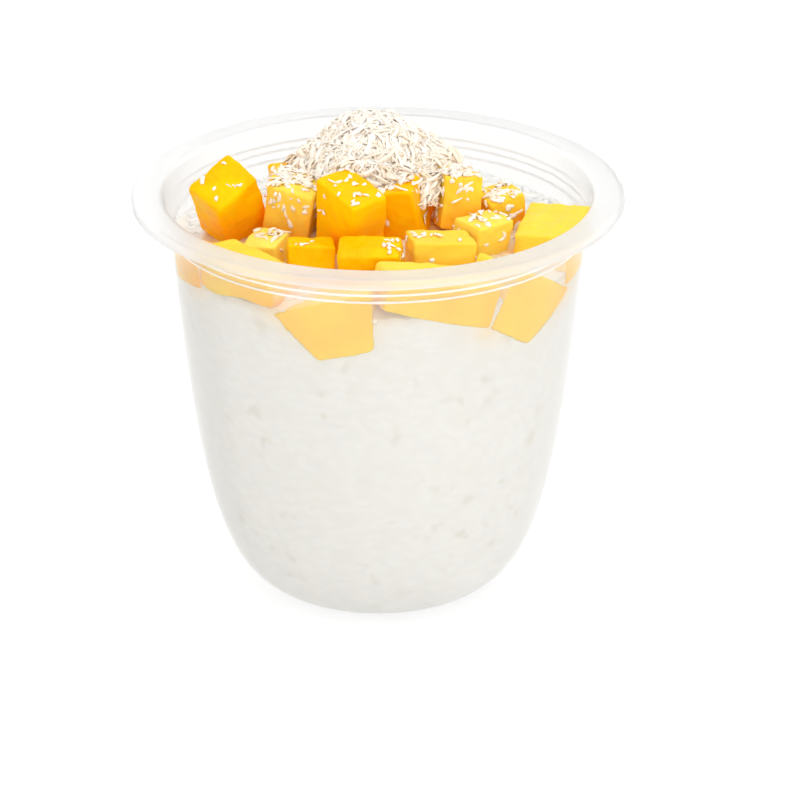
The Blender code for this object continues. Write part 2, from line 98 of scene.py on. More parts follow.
class Bench:
    """A material in the making: its node tree, and the one method that adds nodes to it."""

    def __init__(self, name: str) -> None:
        """Starts a material with one Principled shader."""
        self.material = bpy.data.materials.new(name)
        self.take(self.material, "Principled BSDF")

    def take(self, owner: bpy.types.Material | bpy.types.World, shader: str) -> None:
        """Turns on the owner's nodes, and finds its shader by name."""
        owner.use_nodes = True
        self.tree = owner.node_tree
        self.shader = self.tree.nodes[shader]

    def node(self, kind: str, settings: dict | None = None, values: dict | None = None,
             out: int | str = 0) -> Wire:
        """Adds a node.

        Args:
            kind: The node's type.
            settings: What is set on the node first.
            values: A number, a colour or a wire for each named or numbered socket.
            out: The output that is wanted.

        Returns:
            The wire from that output.
        """
        made = self.tree.nodes.new(kind)
        for name, value in (settings or {}).items():
            setattr(made, name, value)
        for key, value in (values or {}).items():
            self.feed(made.inputs[key], value)
        return Wire(self, made.outputs[out])

    def feed(self, socket: Socket, value: object) -> None:
        """Links a wire to a socket, or sets a value on it.

        Args:
            socket: The input.
            value: A wire, a number, a vector, or a colour with or without its alpha.
        """
        if isinstance(value, Wire):
            self.tree.links.new(value.socket, socket)
        elif socket.type == "RGBA" and len(value) == 3:
            socket.default_value = (*value, 1.0)
        else:
            socket.default_value = value

    def dress(self, **values: object) -> None:
        """Feeds the shader's sockets, each named with _ for a space."""
        for name, value in values.items():
            self.feed(self.shader.inputs[name.replace("_", " ")], value)

    def place(self) -> Wire:
        """The place on the piece, in metres."""
        return self.node("ShaderNodeTexCoord", out="Object")

    def own(self, name: str, out: str = "Fac") -> Wire:
        """An attribute of the piece's own mesh."""
        return self.node("ShaderNodeAttribute", {"attribute_name": name}, out=out)

    def stretched(self, vector: Wire, by: tuple) -> Wire:
        """A vector times another, axis by axis."""
        return self.node("ShaderNodeVectorMath", {"operation": "MULTIPLY"}, {0: vector, 1: by})

    def noise(self, vector: Wire, scale: float, detail: float = 2.0, rough: float = 0.5) -> Wire:
        """Soft noise from 0 to 1, a scale of patches to the metre."""
        return self.node("ShaderNodeTexNoise", None,
                         {"Vector": vector, "Scale": scale, "Detail": detail, "Roughness": rough})

    def ramp(self, value: Wire, low: float, high: float, start: float = 0.0,
             end: float = 1.0) -> Wire:
        """A smooth step from a start to an end as a value goes from low to high."""
        inputs = {"Value": value, "From Min": low, "From Max": high, "To Min": start, "To Max": end}
        return self.node("ShaderNodeMapRange", {"interpolation_type": "SMOOTHSTEP"}, inputs)

    def blend(self, share: Wire | float, one: Wire | tuple, two: Wire | tuple) -> Wire:
        """Two colours mixed by a share."""
        return self.node("ShaderNodeMix", {"data_type": "RGBA"}, {0: share, 6: one, 7: two}, out=2)

    def bump(self, height: Wire, depth: float, strength: float = 1.0) -> Wire:
        """A relief of a depth in metres."""
        return self.node("ShaderNodeBump", None,
                         {"Height": height, "Distance": depth, "Strength": strength})


class SkyBench(Bench):
    """A sky in the making."""

    def __init__(self, name: str) -> None:
        """Starts a world with one Background shader."""
        self.world = bpy.data.worlds.new(name)
        self.take(self.world, "Background")


# ---- Finishes ----------------------------------------------------------------------------------
@dataclass(frozen=True)
class ClearPlastic:
    """Thin moulded clear plastic: a little wavy, hazed in places and frosted towards its rim."""

    tint: tuple = (0.905, 0.905, 0.9)
    ior: float = 1.36
    clearness: float = 0.88
    clear: float = 0.05
    hazed: float = 0.1
    frost: float = 0.27
    frost_from: float = 72.8 * MM
    frost_to: float = 74.6 * MM
    wave: float = 0.012 * MM
    shadow: tuple = (0.97, 0.975, 0.975)
    plain: tuple = (0.93, 0.94, 0.95, 0.3)

    def material(self, name: str = "clear_plastic") -> bpy.types.Material:
        """Makes the finish. Light rays that only cast a shadow pass straight through it.

        Args:
            name: The material's name.

        Returns:
            The material.
        """
        bench = Bench(name)
        place = bench.place()
        haze = bench.ramp(bench.noise(place, 90.0, 4.0, 0.6), 0.5, 0.75, self.clear, self.hazed)
        height = bench.node("ShaderNodeSeparateXYZ", None, {0: place}, out=2)
        haze = haze + bench.ramp(height, self.frost_from, self.frost_to, 0.0, self.frost)
        wave = bench.noise(bench.stretched(place, (1.0, 1.0, 0.35)), 70.0, 1.0)
        bench.dress(Base_Color=self.tint, Roughness=haze, IOR=self.ior,
                    Transmission_Weight=self.clearness, Normal=bench.bump(wave, self.wave))
        through = bench.node("ShaderNodeBsdfTransparent", None, {"Color": self.shadow})
        shadow = bench.node("ShaderNodeLightPath", out="Is Shadow Ray")
        both = bench.node("ShaderNodeMixShader", None,
                          {0: shadow, 1: Wire(bench, bench.shader.outputs[0]), 2: through})
        bench.feed(bench.tree.nodes["Material Output"].inputs["Surface"], both)
        bench.material.diffuse_color = self.plain
        return bench.material


@dataclass(frozen=True)
class RicePudding:
    """White rice in set milk: cream, with paler plump grains, a few darker gaps between them and
    the dice's juice round each die: a stain that is also painted orange bounce light in the gaps
    between the dice."""

    cream: tuple = (0.79, 0.772, 0.727)
    grain: tuple = (0.825, 0.812, 0.775)
    gap: tuple = (0.66, 0.62, 0.53)
    # Juice stain near the dice, partly painted orange bounce light from them.
    juice_and_bounce: tuple = (1.0, 0.62, 0.12)
    milk: tuple = (1.0, 0.85, 0.65)
    grain_scale: float = 330.0
    bend_scale: float = 160.0
    bend: tuple = (6 * MM, 6 * MM, 6 * MM)
    squash: tuple = (1.0, 1.0, 1.9)
    flecks: float = 0.5

    def material(self, name: str = "rice_pudding") -> bpy.types.Material:
        """Makes the finish. It reads how much of the dice's juice stain and painted orange bounce
        light lies at a place.

        Args:
            name: The material's name.

        Returns:
            The material.
        """
        bench = Bench(name)
        place = bench.place()
        swirl = bench.node("ShaderNodeTexNoise", None, {"Vector": place, "Scale": self.bend_scale},
                           out="Color")
        bent = bench.node("ShaderNodeVectorMath", {"operation": "MULTIPLY_ADD"},
                          {0: swirl, 1: self.bend, 2: place})
        cells = bench.node("ShaderNodeTexVoronoi", {"feature": "SMOOTH_F1"},
                           {"Vector": bench.stretched(bent, self.squash),
                            "Scale": self.grain_scale, "Smoothness": 0.4})
        plump = bench.ramp(cells, 0.2, 0.75, 1.0, 0.0)
        patch = bench.noise(place, 60.0, 3.0)
        speck = bench.ramp(bench.noise(place, 260.0, 2.0, 0.45), 0.57, 0.75)
        rare = bench.ramp(bench.noise(place, 75.0, 1.0), 0.42, 0.58)
        tone = bench.blend(plump * (0.35 + 0.65 * patch), self.cream, self.grain)
        tone = bench.blend(speck * rare * self.flecks, tone, self.gap)
        # Juice stain and painted orange bounce light round the dice.
        tone = bench.blend(bench.own("juice_and_bounce"), tone, self.juice_and_bounce)
        relief = plump + 0.35 * bench.noise(place, 900.0, 3.0)
        bench.dress(Base_Color=tone, Roughness=bench.ramp(patch, 0.3, 0.7, 0.34, 0.5), IOR=1.38,
                    Subsurface_Weight=0.5, Subsurface_Radius=self.milk, Subsurface_Scale=1.6 * MM,
                    Normal=bench.bump(relief, 0.05 * MM, 0.6))
        bench.material.diffuse_color = (*self.cream, 1.0)
        return bench.material


@dataclass(frozen=True)
class MangoFlesh:
    """Ripe mango, wet and finely fibred, with painted shade: a deep orange in its crevices and
    towards its undersides, with a faint painted glow there; paler on its pale dice.
    """

    bright: tuple = (1.0, 0.57, 0.0)
    golden: tuple = (1.0, 0.47, 0.0)
    pale: tuple = (1.0, 0.76, 0.13)
    # Painted shade: the deep orange laid in crevices and towards the dice's undersides.
    deep: tuple = (1.0, 0.24, 0.0)
    thread: tuple = (1.0, 0.64, 0.01)
    depths: tuple = (1.0, 0.65, 0.2)
    # Painted glow: an orange emission in those crevices, though the flesh is no lamp; glow is its
    # strength.
    painted_glow_colour: tuple = (1.0, 0.3, 0.0)
    glow: float = 0.2
    fibre: tuple = (260.0, 1500.0, 1500.0)

    def material(self) -> bpy.types.Material:
        """Makes the finish. It reads the die's own attributes: cut, the place from its middle along
        its sides; pale, how pale it is; and its painted shade, how deep an orange is painted there
        for shade, which also sets a faint painted orange glow.

        Returns:
            The material.
        """
        bench = Bench("mango_flesh")
        cut = bench.own("cut", "Vector")
        fibres = bench.noise(bench.stretched(cut, self.fibre), 1.0, 3.0, 0.6)
        coarse = bench.noise(bench.stretched(cut, (0.35, 1.0, 1.0)), 420.0, 2.0)
        cloud = bench.noise(bench.place(), 130.0, 2.0)
        tone = bench.blend(bench.ramp(cloud, 0.35, 0.65), self.golden, self.bright)
        tone = bench.blend(bench.own("pale"), tone, self.pale)
        tone = bench.blend(bench.ramp(fibres, 0.45, 0.75, 0.0, 0.35), tone, self.thread)
        # Painted shade in crevices and under the die, and a faint painted glow there.
        tone = bench.blend(bench.own("painted_shade"), tone, self.deep)
        painted_glow = bench.blend(bench.own("painted_shade"), (0.0, 0.0, 0.0), self.painted_glow_colour)
        relief = 0.6 * fibres + coarse
        bench.dress(Base_Color=tone, Roughness=bench.ramp(coarse, 0.3, 0.7, 0.3, 0.46), IOR=1.33,
                    Specular_IOR_Level=0.1, Subsurface_Weight=0.4, Subsurface_Radius=self.depths,
                    Subsurface_Scale=1.1 * MM, Emission_Color=painted_glow,
                    Emission_Strength=self.glow, Normal=bench.bump(relief, 0.12 * MM, 0.8))
        bench.material.diffuse_color = (*self.bright, 1.0)
        return bench.material


@dataclass(frozen=True)
class CoconutMeat:
    """Shredded coconut: ivory, each shred of its own tone, with fine fibres."""

    ivory: tuple = (0.98, 0.92, 0.84)
    warm: tuple = (0.98, 0.85, 0.7)
    white: tuple = (1.0, 0.98, 0.945)
    # Juice stain, partly painted orange bounce light from the dice.
    juice_and_bounce: tuple = (1.0, 0.6, 0.1)
    depths: tuple = (1.0, 0.85, 0.65)

    def material(self) -> bpy.types.Material:
        """Makes the finish. It reads the attributes tone, one value from 0 to 1 for each shred, and
        how much of the dice's juice stain and painted orange bounce light lies at a place.

        Returns:
            The material.
        """
        bench = Bench("coconut_meat")
        place = bench.place()
        tone = bench.own("tone")
        fibres = bench.noise(bench.stretched(place, (1.0, 1.0, 1.6)), 1600.0, 2.0, 0.6)
        colour = bench.blend(bench.ramp(tone, 0.0, 0.6), self.warm, self.ivory)
        colour = bench.blend(bench.ramp(tone, 0.55, 1.0), colour, self.white)
        colour = bench.blend(bench.ramp(fibres, 0.4, 0.7, 0.25, 0.0), colour, self.warm)
        # Juice stain and painted orange bounce light near the dice.
        colour = bench.blend(bench.own("juice_and_bounce") * 0.9, colour, self.juice_and_bounce)
        bench.dress(Base_Color=colour, Roughness=bench.ramp(fibres, 0.3, 0.7, 0.5, 0.68), IOR=1.45,
                    Subsurface_Weight=0.1, Subsurface_Radius=self.depths, Subsurface_Scale=0.3 * MM,
                    Specular_IOR_Level=0.3, Normal=bench.bump(fibres, 0.04 * MM, 0.5))
        bench.material.diffuse_color = (*self.ivory, 1.0)
        return bench.material


@dataclass(frozen=True)
class PaleFloor:
    """The plain white floor of a studio."""

    colour: tuple = (0.3, 0.3, 0.3)
    paler: tuple = (0.33, 0.33, 0.33)
    glow: float = 0.77

    def material(self) -> bpy.types.Material:
        """Makes the finish.

        Returns:
            The material.
        """
        bench = Bench("pale_floor")
        grain = bench.noise(bench.place(), 30.0, 2.0)
        tone = bench.blend(bench.ramp(grain, 0.3, 0.7, 0.0, 0.1), self.colour, self.paler)
        bench.dress(Base_Color=tone, Roughness=0.9, Emission_Color=(1.0, 1.0, 1.0),
                    Emission_Strength=self.glow)
        return bench.material


# ---- Surfaces ----------------------------------------------------------------------------------
def add_surface(name: str, points: np.ndarray, quads: np.ndarray, fans: np.ndarray | None = None,
                attributes: dict | None = None) -> bpy.types.Object:
    """Makes a smooth piece of points and faces, turned to face outwards.

    Its volume is the sum of the products of each face's corners; if that is below zero, the faces
    are turned.

    Args:
        name: The piece's name.
        points: The places, one to a row.
        quads: Four point numbers to a row.
        fans: Three point numbers to a row, for poles and caps.
        attributes: Values for each point, one or three each, by name.

    Returns:
        The object, at the origin.
    """
    fans = np.empty((0, 3), int) if fans is None else fans
    halves = np.vstack([quads[:, [0, 1, 2]], quads[:, [0, 2, 3]], fans])
    one, two, three = points[halves.T]
    if np.einsum("ij,ij->", one, np.cross(two, three)) < 0:
        quads, fans = quads[:, ::-1], fans[:, ::-1]
    corners = np.concatenate([quads.ravel(), fans.ravel()]).astype(np.int32)
    starts = np.concatenate([np.arange(len(quads)) * 4, len(quads) * 4 + np.arange(len(fans)) * 3])
    mesh = bpy.data.meshes.new(name)
    mesh.vertices.add(len(points))
    mesh.vertices.foreach_set("co", points.astype(np.float32).ravel())
    mesh.loops.add(len(corners))
    mesh.loops.foreach_set("vertex_index", corners)
    mesh.polygons.add(len(starts))
    mesh.polygons.foreach_set("loop_start", starts.astype(np.int32))
    for label, values in (attributes or {}).items():
        kind, field_name = ("FLOAT_VECTOR", "vector") if values.ndim == 2 else ("FLOAT", "value")
        layer = mesh.attributes.new(label, kind, "POINT")
        layer.data.foreach_set(field_name, values.astype(np.float32).ravel())
    mesh.update(calc_edges=True)
    mesh.validate()
    mesh.shade_smooth()
    obj = bpy.data.objects.new(name, mesh)
    bpy.context.scene.collection.objects.link(obj)
    return obj


def put_in(obj: bpy.types.Object, material: bpy.types.Material, slot: Slot,
           *nodes: str) -> bpy.types.Object:
    """Dresses a piece and makes it ride on the object in place of its CAD nodes.

    Args:
        obj: The piece.
        material: Its finish.
        slot: The record's slot of that finish; not used.
        nodes: The CAD nodes that it stands for.

    Returns:
        The piece.
    """
    obj.data.materials.append(material)
    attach(obj, "root")
    if nodes:
        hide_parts(*nodes)
    log.info("%s: %d faces", obj.name, len(obj.data.polygons))
    return obj


def rings_to_faces(rings: int, sides: int) -> tuple[np.ndarray, np.ndarray]:
    """Faces between closed rings of points, numbered in order, with a pole before and after them.

    Args:
        rings: How many rings.
        sides: How many points to a ring.

    Returns:
        The quads between the rings, and the fans at the two poles.
    """
    ring, side = np.meshgrid(np.arange(rings - 1), np.arange(sides), indexing="ij")
    here = 1 + ring * sides
    across = (side + 1) % sides
    quads = np.stack([here + side, here + across, here + sides + across, here + sides + side], -1)
    turn = np.arange(sides)
    last = 1 + (rings - 1) * sides
    start = np.stack([np.zeros(sides, int), 1 + (turn + 1) % sides, 1 + turn], -1)
    end = np.stack([np.full(sides, last + sides), last + turn, last + (turn + 1) % sides], -1)
    return quads.reshape(-1, 4), np.vstack([start, end])


def around(count: int) -> np.ndarray:
    """The angles of so many points, spread evenly round a full turn."""
    return np.arange(count) * math.tau / count


def turned(radius: np.ndarray, height: np.ndarray, sides: int) -> np.ndarray:
    """A profile turned about the Z axis: the radius times the turn's cosine and sine.

    Args:
        radius: The radii, one to a row, or one for each side too.
        height: The heights, likewise.
        sides: How many points to a ring.

    Returns:
        The places, as (rings, sides, 3).
    """
    turn = around(sides)
    return np.stack([radius * np.cos(turn), radius * np.sin(turn), height + 0 * turn], -1)


def smooth_step(value: np.ndarray, low: float, high: float) -> np.ndarray:
    """From 0 at low to 1 at high: 3 t squared less 2 t cubed."""
    t = np.clip((value - low) / (high - low), 0.0, 1.0)
    return t * t * (3 - 2 * t)


def ripples(x: np.ndarray, y: np.ndarray, z: np.ndarray, length: float, seed: int,
            waves: int = 6) -> np.ndarray:
    """Soft unevenness from about -1 to 1: a mean of sine waves of about one length, in random ways.

    Args:
        x: Places along X.
        y: Places along Y.
        z: Places along Z.
        length: The length of a wave.
        seed: The start of the random draws.
        waves: How many waves.

    Returns:
        The unevenness at each place.
    """
    rng = np.random.default_rng(seed)
    ways = rng.normal(size=(waves, 3))
    turns = math.tau / length * rng.uniform(0.6, 1.5, waves)
    ways *= (turns / np.linalg.norm(ways, axis=1))[:, None]
    phases = rng.uniform(0, math.tau, waves)
    spread = np.stack([x, y, z], -1) @ ways.T + phases
    return np.sin(spread).sum(-1) / math.sqrt(waves)


# ---- Cup ---------------------------------------------------------------------------------------
FOOT_POINTS = 7                     # points of the cup's outline before its body


@dataclass
class DessertCup:
    """The clear cup: a thin turned shell with a stacking step and a flat rim with its edge down."""

    height: float = CUP_HEIGHT
    rim_radius: float = 47.5 * MM
    wall: float = 0.6 * MM
    foot_radius: float = 16.9 * MM
    foot_ring: float = 3.0 * MM
    push_up: float = 1.2 * MM
    foot_slope: float = 1.6
    foot_fillet: float = 0.5 * MM
    body_top_radius: float = 40.1 * MM
    body_draft: float = math.radians(4.9)
    foot_rise: float = math.radians(4.2)
    foot_handle: float = 13.7 * MM
    wall_handle: float = 56.8 * MM
    step_low: float = 7.9 * MM
    step_high: float = 6.4 * MM
    step_width: float = 0.8 * MM
    mouth_radius: float = 41.9 * MM
    mouth_fillet: float = 0.7 * MM
    edge_fillet: float = 0.8 * MM
    edge_drop: float = 1.8 * MM
    bead_drops: tuple = (4.2 * MM, 5.6 * MM, 7.2 * MM)
    bead_half: tuple = (0.12 * MM, 0.27 * MM)
    bead_points: int = 8
    body_points: int = 60
    body_gather: float = 1.15
    sharp: float = math.radians(35)
    sides: int = 240

    def arc(self, centre: tuple, radius: float, start: float, end: float,
            count: int = 9) -> np.ndarray:
        """Points on a circle from a start to an end angle in degrees."""
        turn = np.radians(np.linspace(start, end, count))
        return centre + radius * np.column_stack([np.cos(turn), np.sin(turn)])

    def body(self) -> np.ndarray:
        """The body's outside as (radius, height): one cubic curve from the foot to the step.

        Returns:
            The points, going up.
        """
        top = np.array([self.body_top_radius, self.height - self.step_low])
        foot = np.array([self.foot_radius, 0.0])
        rise, draft = self.foot_rise, self.body_draft
        low = foot + self.foot_handle * np.array([math.cos(rise), math.sin(rise)])
        high = top - self.wall_handle * np.array([math.sin(draft), math.cos(draft)])
        t = np.linspace(0, 1, self.body_points)[:, None] ** self.body_gather
        s = 1 - t
        return s ** 3 * foot + 3 * s ** 2 * t * low + 3 * s * t ** 2 * high + t ** 3 * top

    def outline(self) -> np.ndarray:
        """The whole outside as (radius, height), from the middle of the foot to the edge's hem.

        Returns:
            The points.
        """
        under = self.height - self.wall
        ring = self.foot_radius - self.foot_ring
        edge = self.rim_radius - self.wall - self.edge_fillet
        parts = [
            [(0.0, self.push_up), (ring - self.foot_slope * self.push_up, self.push_up)],
            self.arc((ring - self.push_up, self.push_up - self.foot_fillet),
                     self.foot_fillet, 80, 20, 4),
            [(ring, 0.0)],
            self.body(),
            [(self.body_top_radius + self.step_width, self.height - self.step_high)],
            self.arc((self.mouth_radius + self.mouth_fillet, under - self.mouth_fillet),
                     self.mouth_fillet, 180, 90),
            self.arc((edge, under - self.edge_fillet), self.edge_fillet, 90, 0),
            [(self.rim_radius - self.wall, self.height - self.edge_drop)],
        ]
        return np.vstack(parts)

    def moved_in(self, line: np.ndarray, distance: float) -> np.ndarray:
        """A line moved to its left by a distance, with its corners mitred.

        Args:
            line: The points as (radius, height).
            distance: How far.

        Returns:
            The moved points.
        """
        run = np.diff(line, axis=0)
        run /= np.linalg.norm(run, axis=1)[:, None]
        left = np.column_stack([-run[:, 1], run[:, 0]])
        before = np.vstack([left[:1], left])
        mean = before + np.vstack([left, left[-1:]])
        mean /= np.linalg.norm(mean, axis=1)[:, None]
        return line + mean * (distance / (mean * before).sum(1))[:, None]

    def inner_radius(self, z: np.ndarray) -> np.ndarray:
        """The inner wall's radius at a height."""
        inner = self.moved_in(self.outline(), self.wall)
        wall = inner[FOOT_POINTS:FOOT_POINTS + self.body_points + 2]
        return np.interp(z, wall[:, 1], wall[:, 0])

    def build(self) -> bpy.types.Object:
        """The shell: each point of the outline, out and back in, turned about the Z axis.

        Returns:
            The cup.
        """
        line = self.outline()
        loop = np.vstack([line, self.moved_in(line, self.wall)[::-1]])
        rings = turned(loop[1:-1, :1], loop[1:-1, 1:], self.sides)
        points = np.vstack([[(0, 0, loop[0, 1])], rings.reshape(-1, 3), [(0, 0, loop[-1, 1])]])
        obj = add_surface("cup_shell", points, *rings_to_faces(len(rings), self.sides))
        obj.data.set_sharp_from_angle(angle=self.sharp)
        return put_in(obj, ClearPlastic().material(), Slot.CUP, "cup")

    def beads(self) -> bpy.types.Object:
        """The fine beads round the stacking step, pale with painted highlight: rings of oval
        section, half in the wall.

        Returns:
            The beads, all in one piece.
        """
        wall = self.outline()[FOOT_POINTS:FOOT_POINTS + self.body_points + 2]
        count = self.bead_points
        section = around(count)[:, None]
        points, quads = [], []
        for drop in self.bead_drops:
            middle = self.height - drop
            radius = np.interp(middle, wall[:, 1], wall[:, 0]) + self.bead_half[0] * np.cos(section)
            height = middle + self.bead_half[1] * np.sin(section)
            points.append(turned(radius, height, self.sides).reshape(-1, 3))
            part, side = np.meshgrid(np.arange(count), np.arange(self.sides), indexing="ij")
            here, over = part * self.sides, (part + 1) % count * self.sides
            across = (side + 1) % self.sides
            ring = np.stack([here + side, here + across, over + across, over + side], -1)
            quads.append(ring.reshape(-1, 4) + len(quads) * count * self.sides)
        obj = add_surface("step_beads", np.vstack(points), np.vstack(quads))
        # Painted highlight: whiter, less clear plastic, so the beads show as bright lines.
        pale = ClearPlastic(tint=(1.0, 1.0, 1.0), clearness=0.5)
        return put_in(obj, pale.material("painted_highlight_bead"), Slot.CUP)


# ---- Pudding -----------------------------------------------------------------------------------
def juice_and_bounce_at(points: np.ndarray, dice: list["MangoDie"], reach: float = 1.5 * MM) -> np.ndarray:
    """How much juice stain and painted orange bounce light lies at places between dice: it falls
    off as e to the minus of the mean gap to the two nearest dice.

    Args:
        points: The places, one to a row.
        dice: The dice.
        reach: The mean gap at which about a third is left.

    Returns:
        The amounts, from 0 to 1.
    """
    gaps = np.maximum(np.partition([die.outside(points) for die in dice], 1, axis=0)[:2], 0.0)
    return np.exp(-gaps.mean(0) / reach)


@dataclass
class PuddingFill:
    """The rice pudding: it fills the cup, just reaches into its wall and has a grainy domed top."""

    cup: DessertCup
    level_front: float = 11.2 * MM
    level_back: float = 9.0 * MM
    dome: float = 4.0 * MM
    lump: float = 0.3 * MM
    pitch: float = 5.5 * MM
    into_wall: float = 0.06 * MM
    off_floor: float = 0.1 * MM
    bulge: float = 0.05 * MM
    gather: float = 1.3
    smear: float = 0.5 * MM
    grainy: float = 0.16 * MM
    brim_reach: float = 39.0 * MM
    sides: int = 288
    wall_rings: int = 48
    top_rings: int = 84

    def level(self, x: np.ndarray, y: np.ndarray) -> np.ndarray:
        """Height of the top: it leans up to the back, is domed by 1 less the square of the reach,
        and has bumps that are the product of two bent sine waves.

        Args:
            x: Places along X.
            y: Places along Y.

        Returns:
            The heights.
        """
        reach = self.cup.body_top_radius
        mean = (self.level_front + self.level_back) / 2
        lean = (self.level_front - self.level_back) / 2
        rise = self.dome * np.maximum(0.0, 1 - (x * x + y * y) / reach ** 2)
        turn = math.tau / self.pitch
        bump = np.sin(turn * x + 2 * np.sin(turn * y / 3))
        bump = bump * np.sin(turn * y + 2 * np.sin(turn * x / 4))
        return self.cup.height - (mean - lean * y / reach) + rise + self.lump * bump

    def build(self, dice: list["MangoDie"]) -> bpy.types.Object:
        """The fill: rings up the wall to a smeared, rippled edge, then over the top to its middle.

        Args:
            dice: The dice, whose juice stains it and whose orange bounce light is painted on it.

        Returns:
            The pudding.
        """
        turn = around(self.sides)
        x, y = np.cos(turn), np.sin(turn)
        smear = self.smear * (ripples(x, y, 0 * x, 0.9, 3) + 0.5 * ripples(x, y, 0 * x, 0.28, 4))
        brim = self.level(x * self.brim_reach, y * self.brim_reach) + smear
        floor = self.cup.push_up + self.cup.wall
        share = np.linspace(0, 1, self.wall_rings)[:, None] ** self.gather
        height = (self.cup.wall + self.off_floor) * (1 - share) + brim * share
        radius = self.cup.inner_radius(height) + self.into_wall
        walls = turned(radius, height, self.sides)
        share = np.linspace(0, 1, self.top_rings + 1)[1:-1, None]
        across = radius[-1] * (1 - share)
        tx, ty = across * x, across * y
        fade = smooth_step(share, 0.0, 0.06)
        fine = self.grainy * ripples(tx, ty, 0 * tx, 2.6 * MM, 5, 10)
        top = self.level(tx, ty) + fine * fade + smear * (1 - fade)
        rings = np.vstack([walls, np.stack([tx, ty, top], -1)])
        lowest, highest = (0, 0, floor - self.bulge), (0, 0, float(self.level(0.0, 0.0)))
        points = np.vstack([[lowest], rings.reshape(-1, 3), [highest]])
        # Its juice stain and painted orange bounce light near the dice.
        obj = add_surface("pudding_fill", points, *rings_to_faces(len(rings), self.sides),
                          attributes={"juice_and_bounce": juice_and_bounce_at(points, dice)})
        return put_in(obj, RicePudding().material(), Slot.PUDDING, "pudding")


# ---- Mango dice --------------------------------------------------------------------------------
NEARLY_UPRIGHT = 0.02               # rise of the way of a face that counts as upright
ONE_FACE = 0.9994                   # cosine between facets that are one face
OTHER_FACE = 0.6                    # cosine between the ways of two faces, at the most
# How far, in mm, the left end of a die hangs down the wall.
SAGGING = {"mango_wall_2": 1.7}
# How much painted shade, a deeper orange, the dice of a kind get near their neighbours, and
# towards their undersides.
DARKENING = {"wall": (0.9, 0.0), "row": (0.2, 0.15), "mango": (0.9, 0.4)}


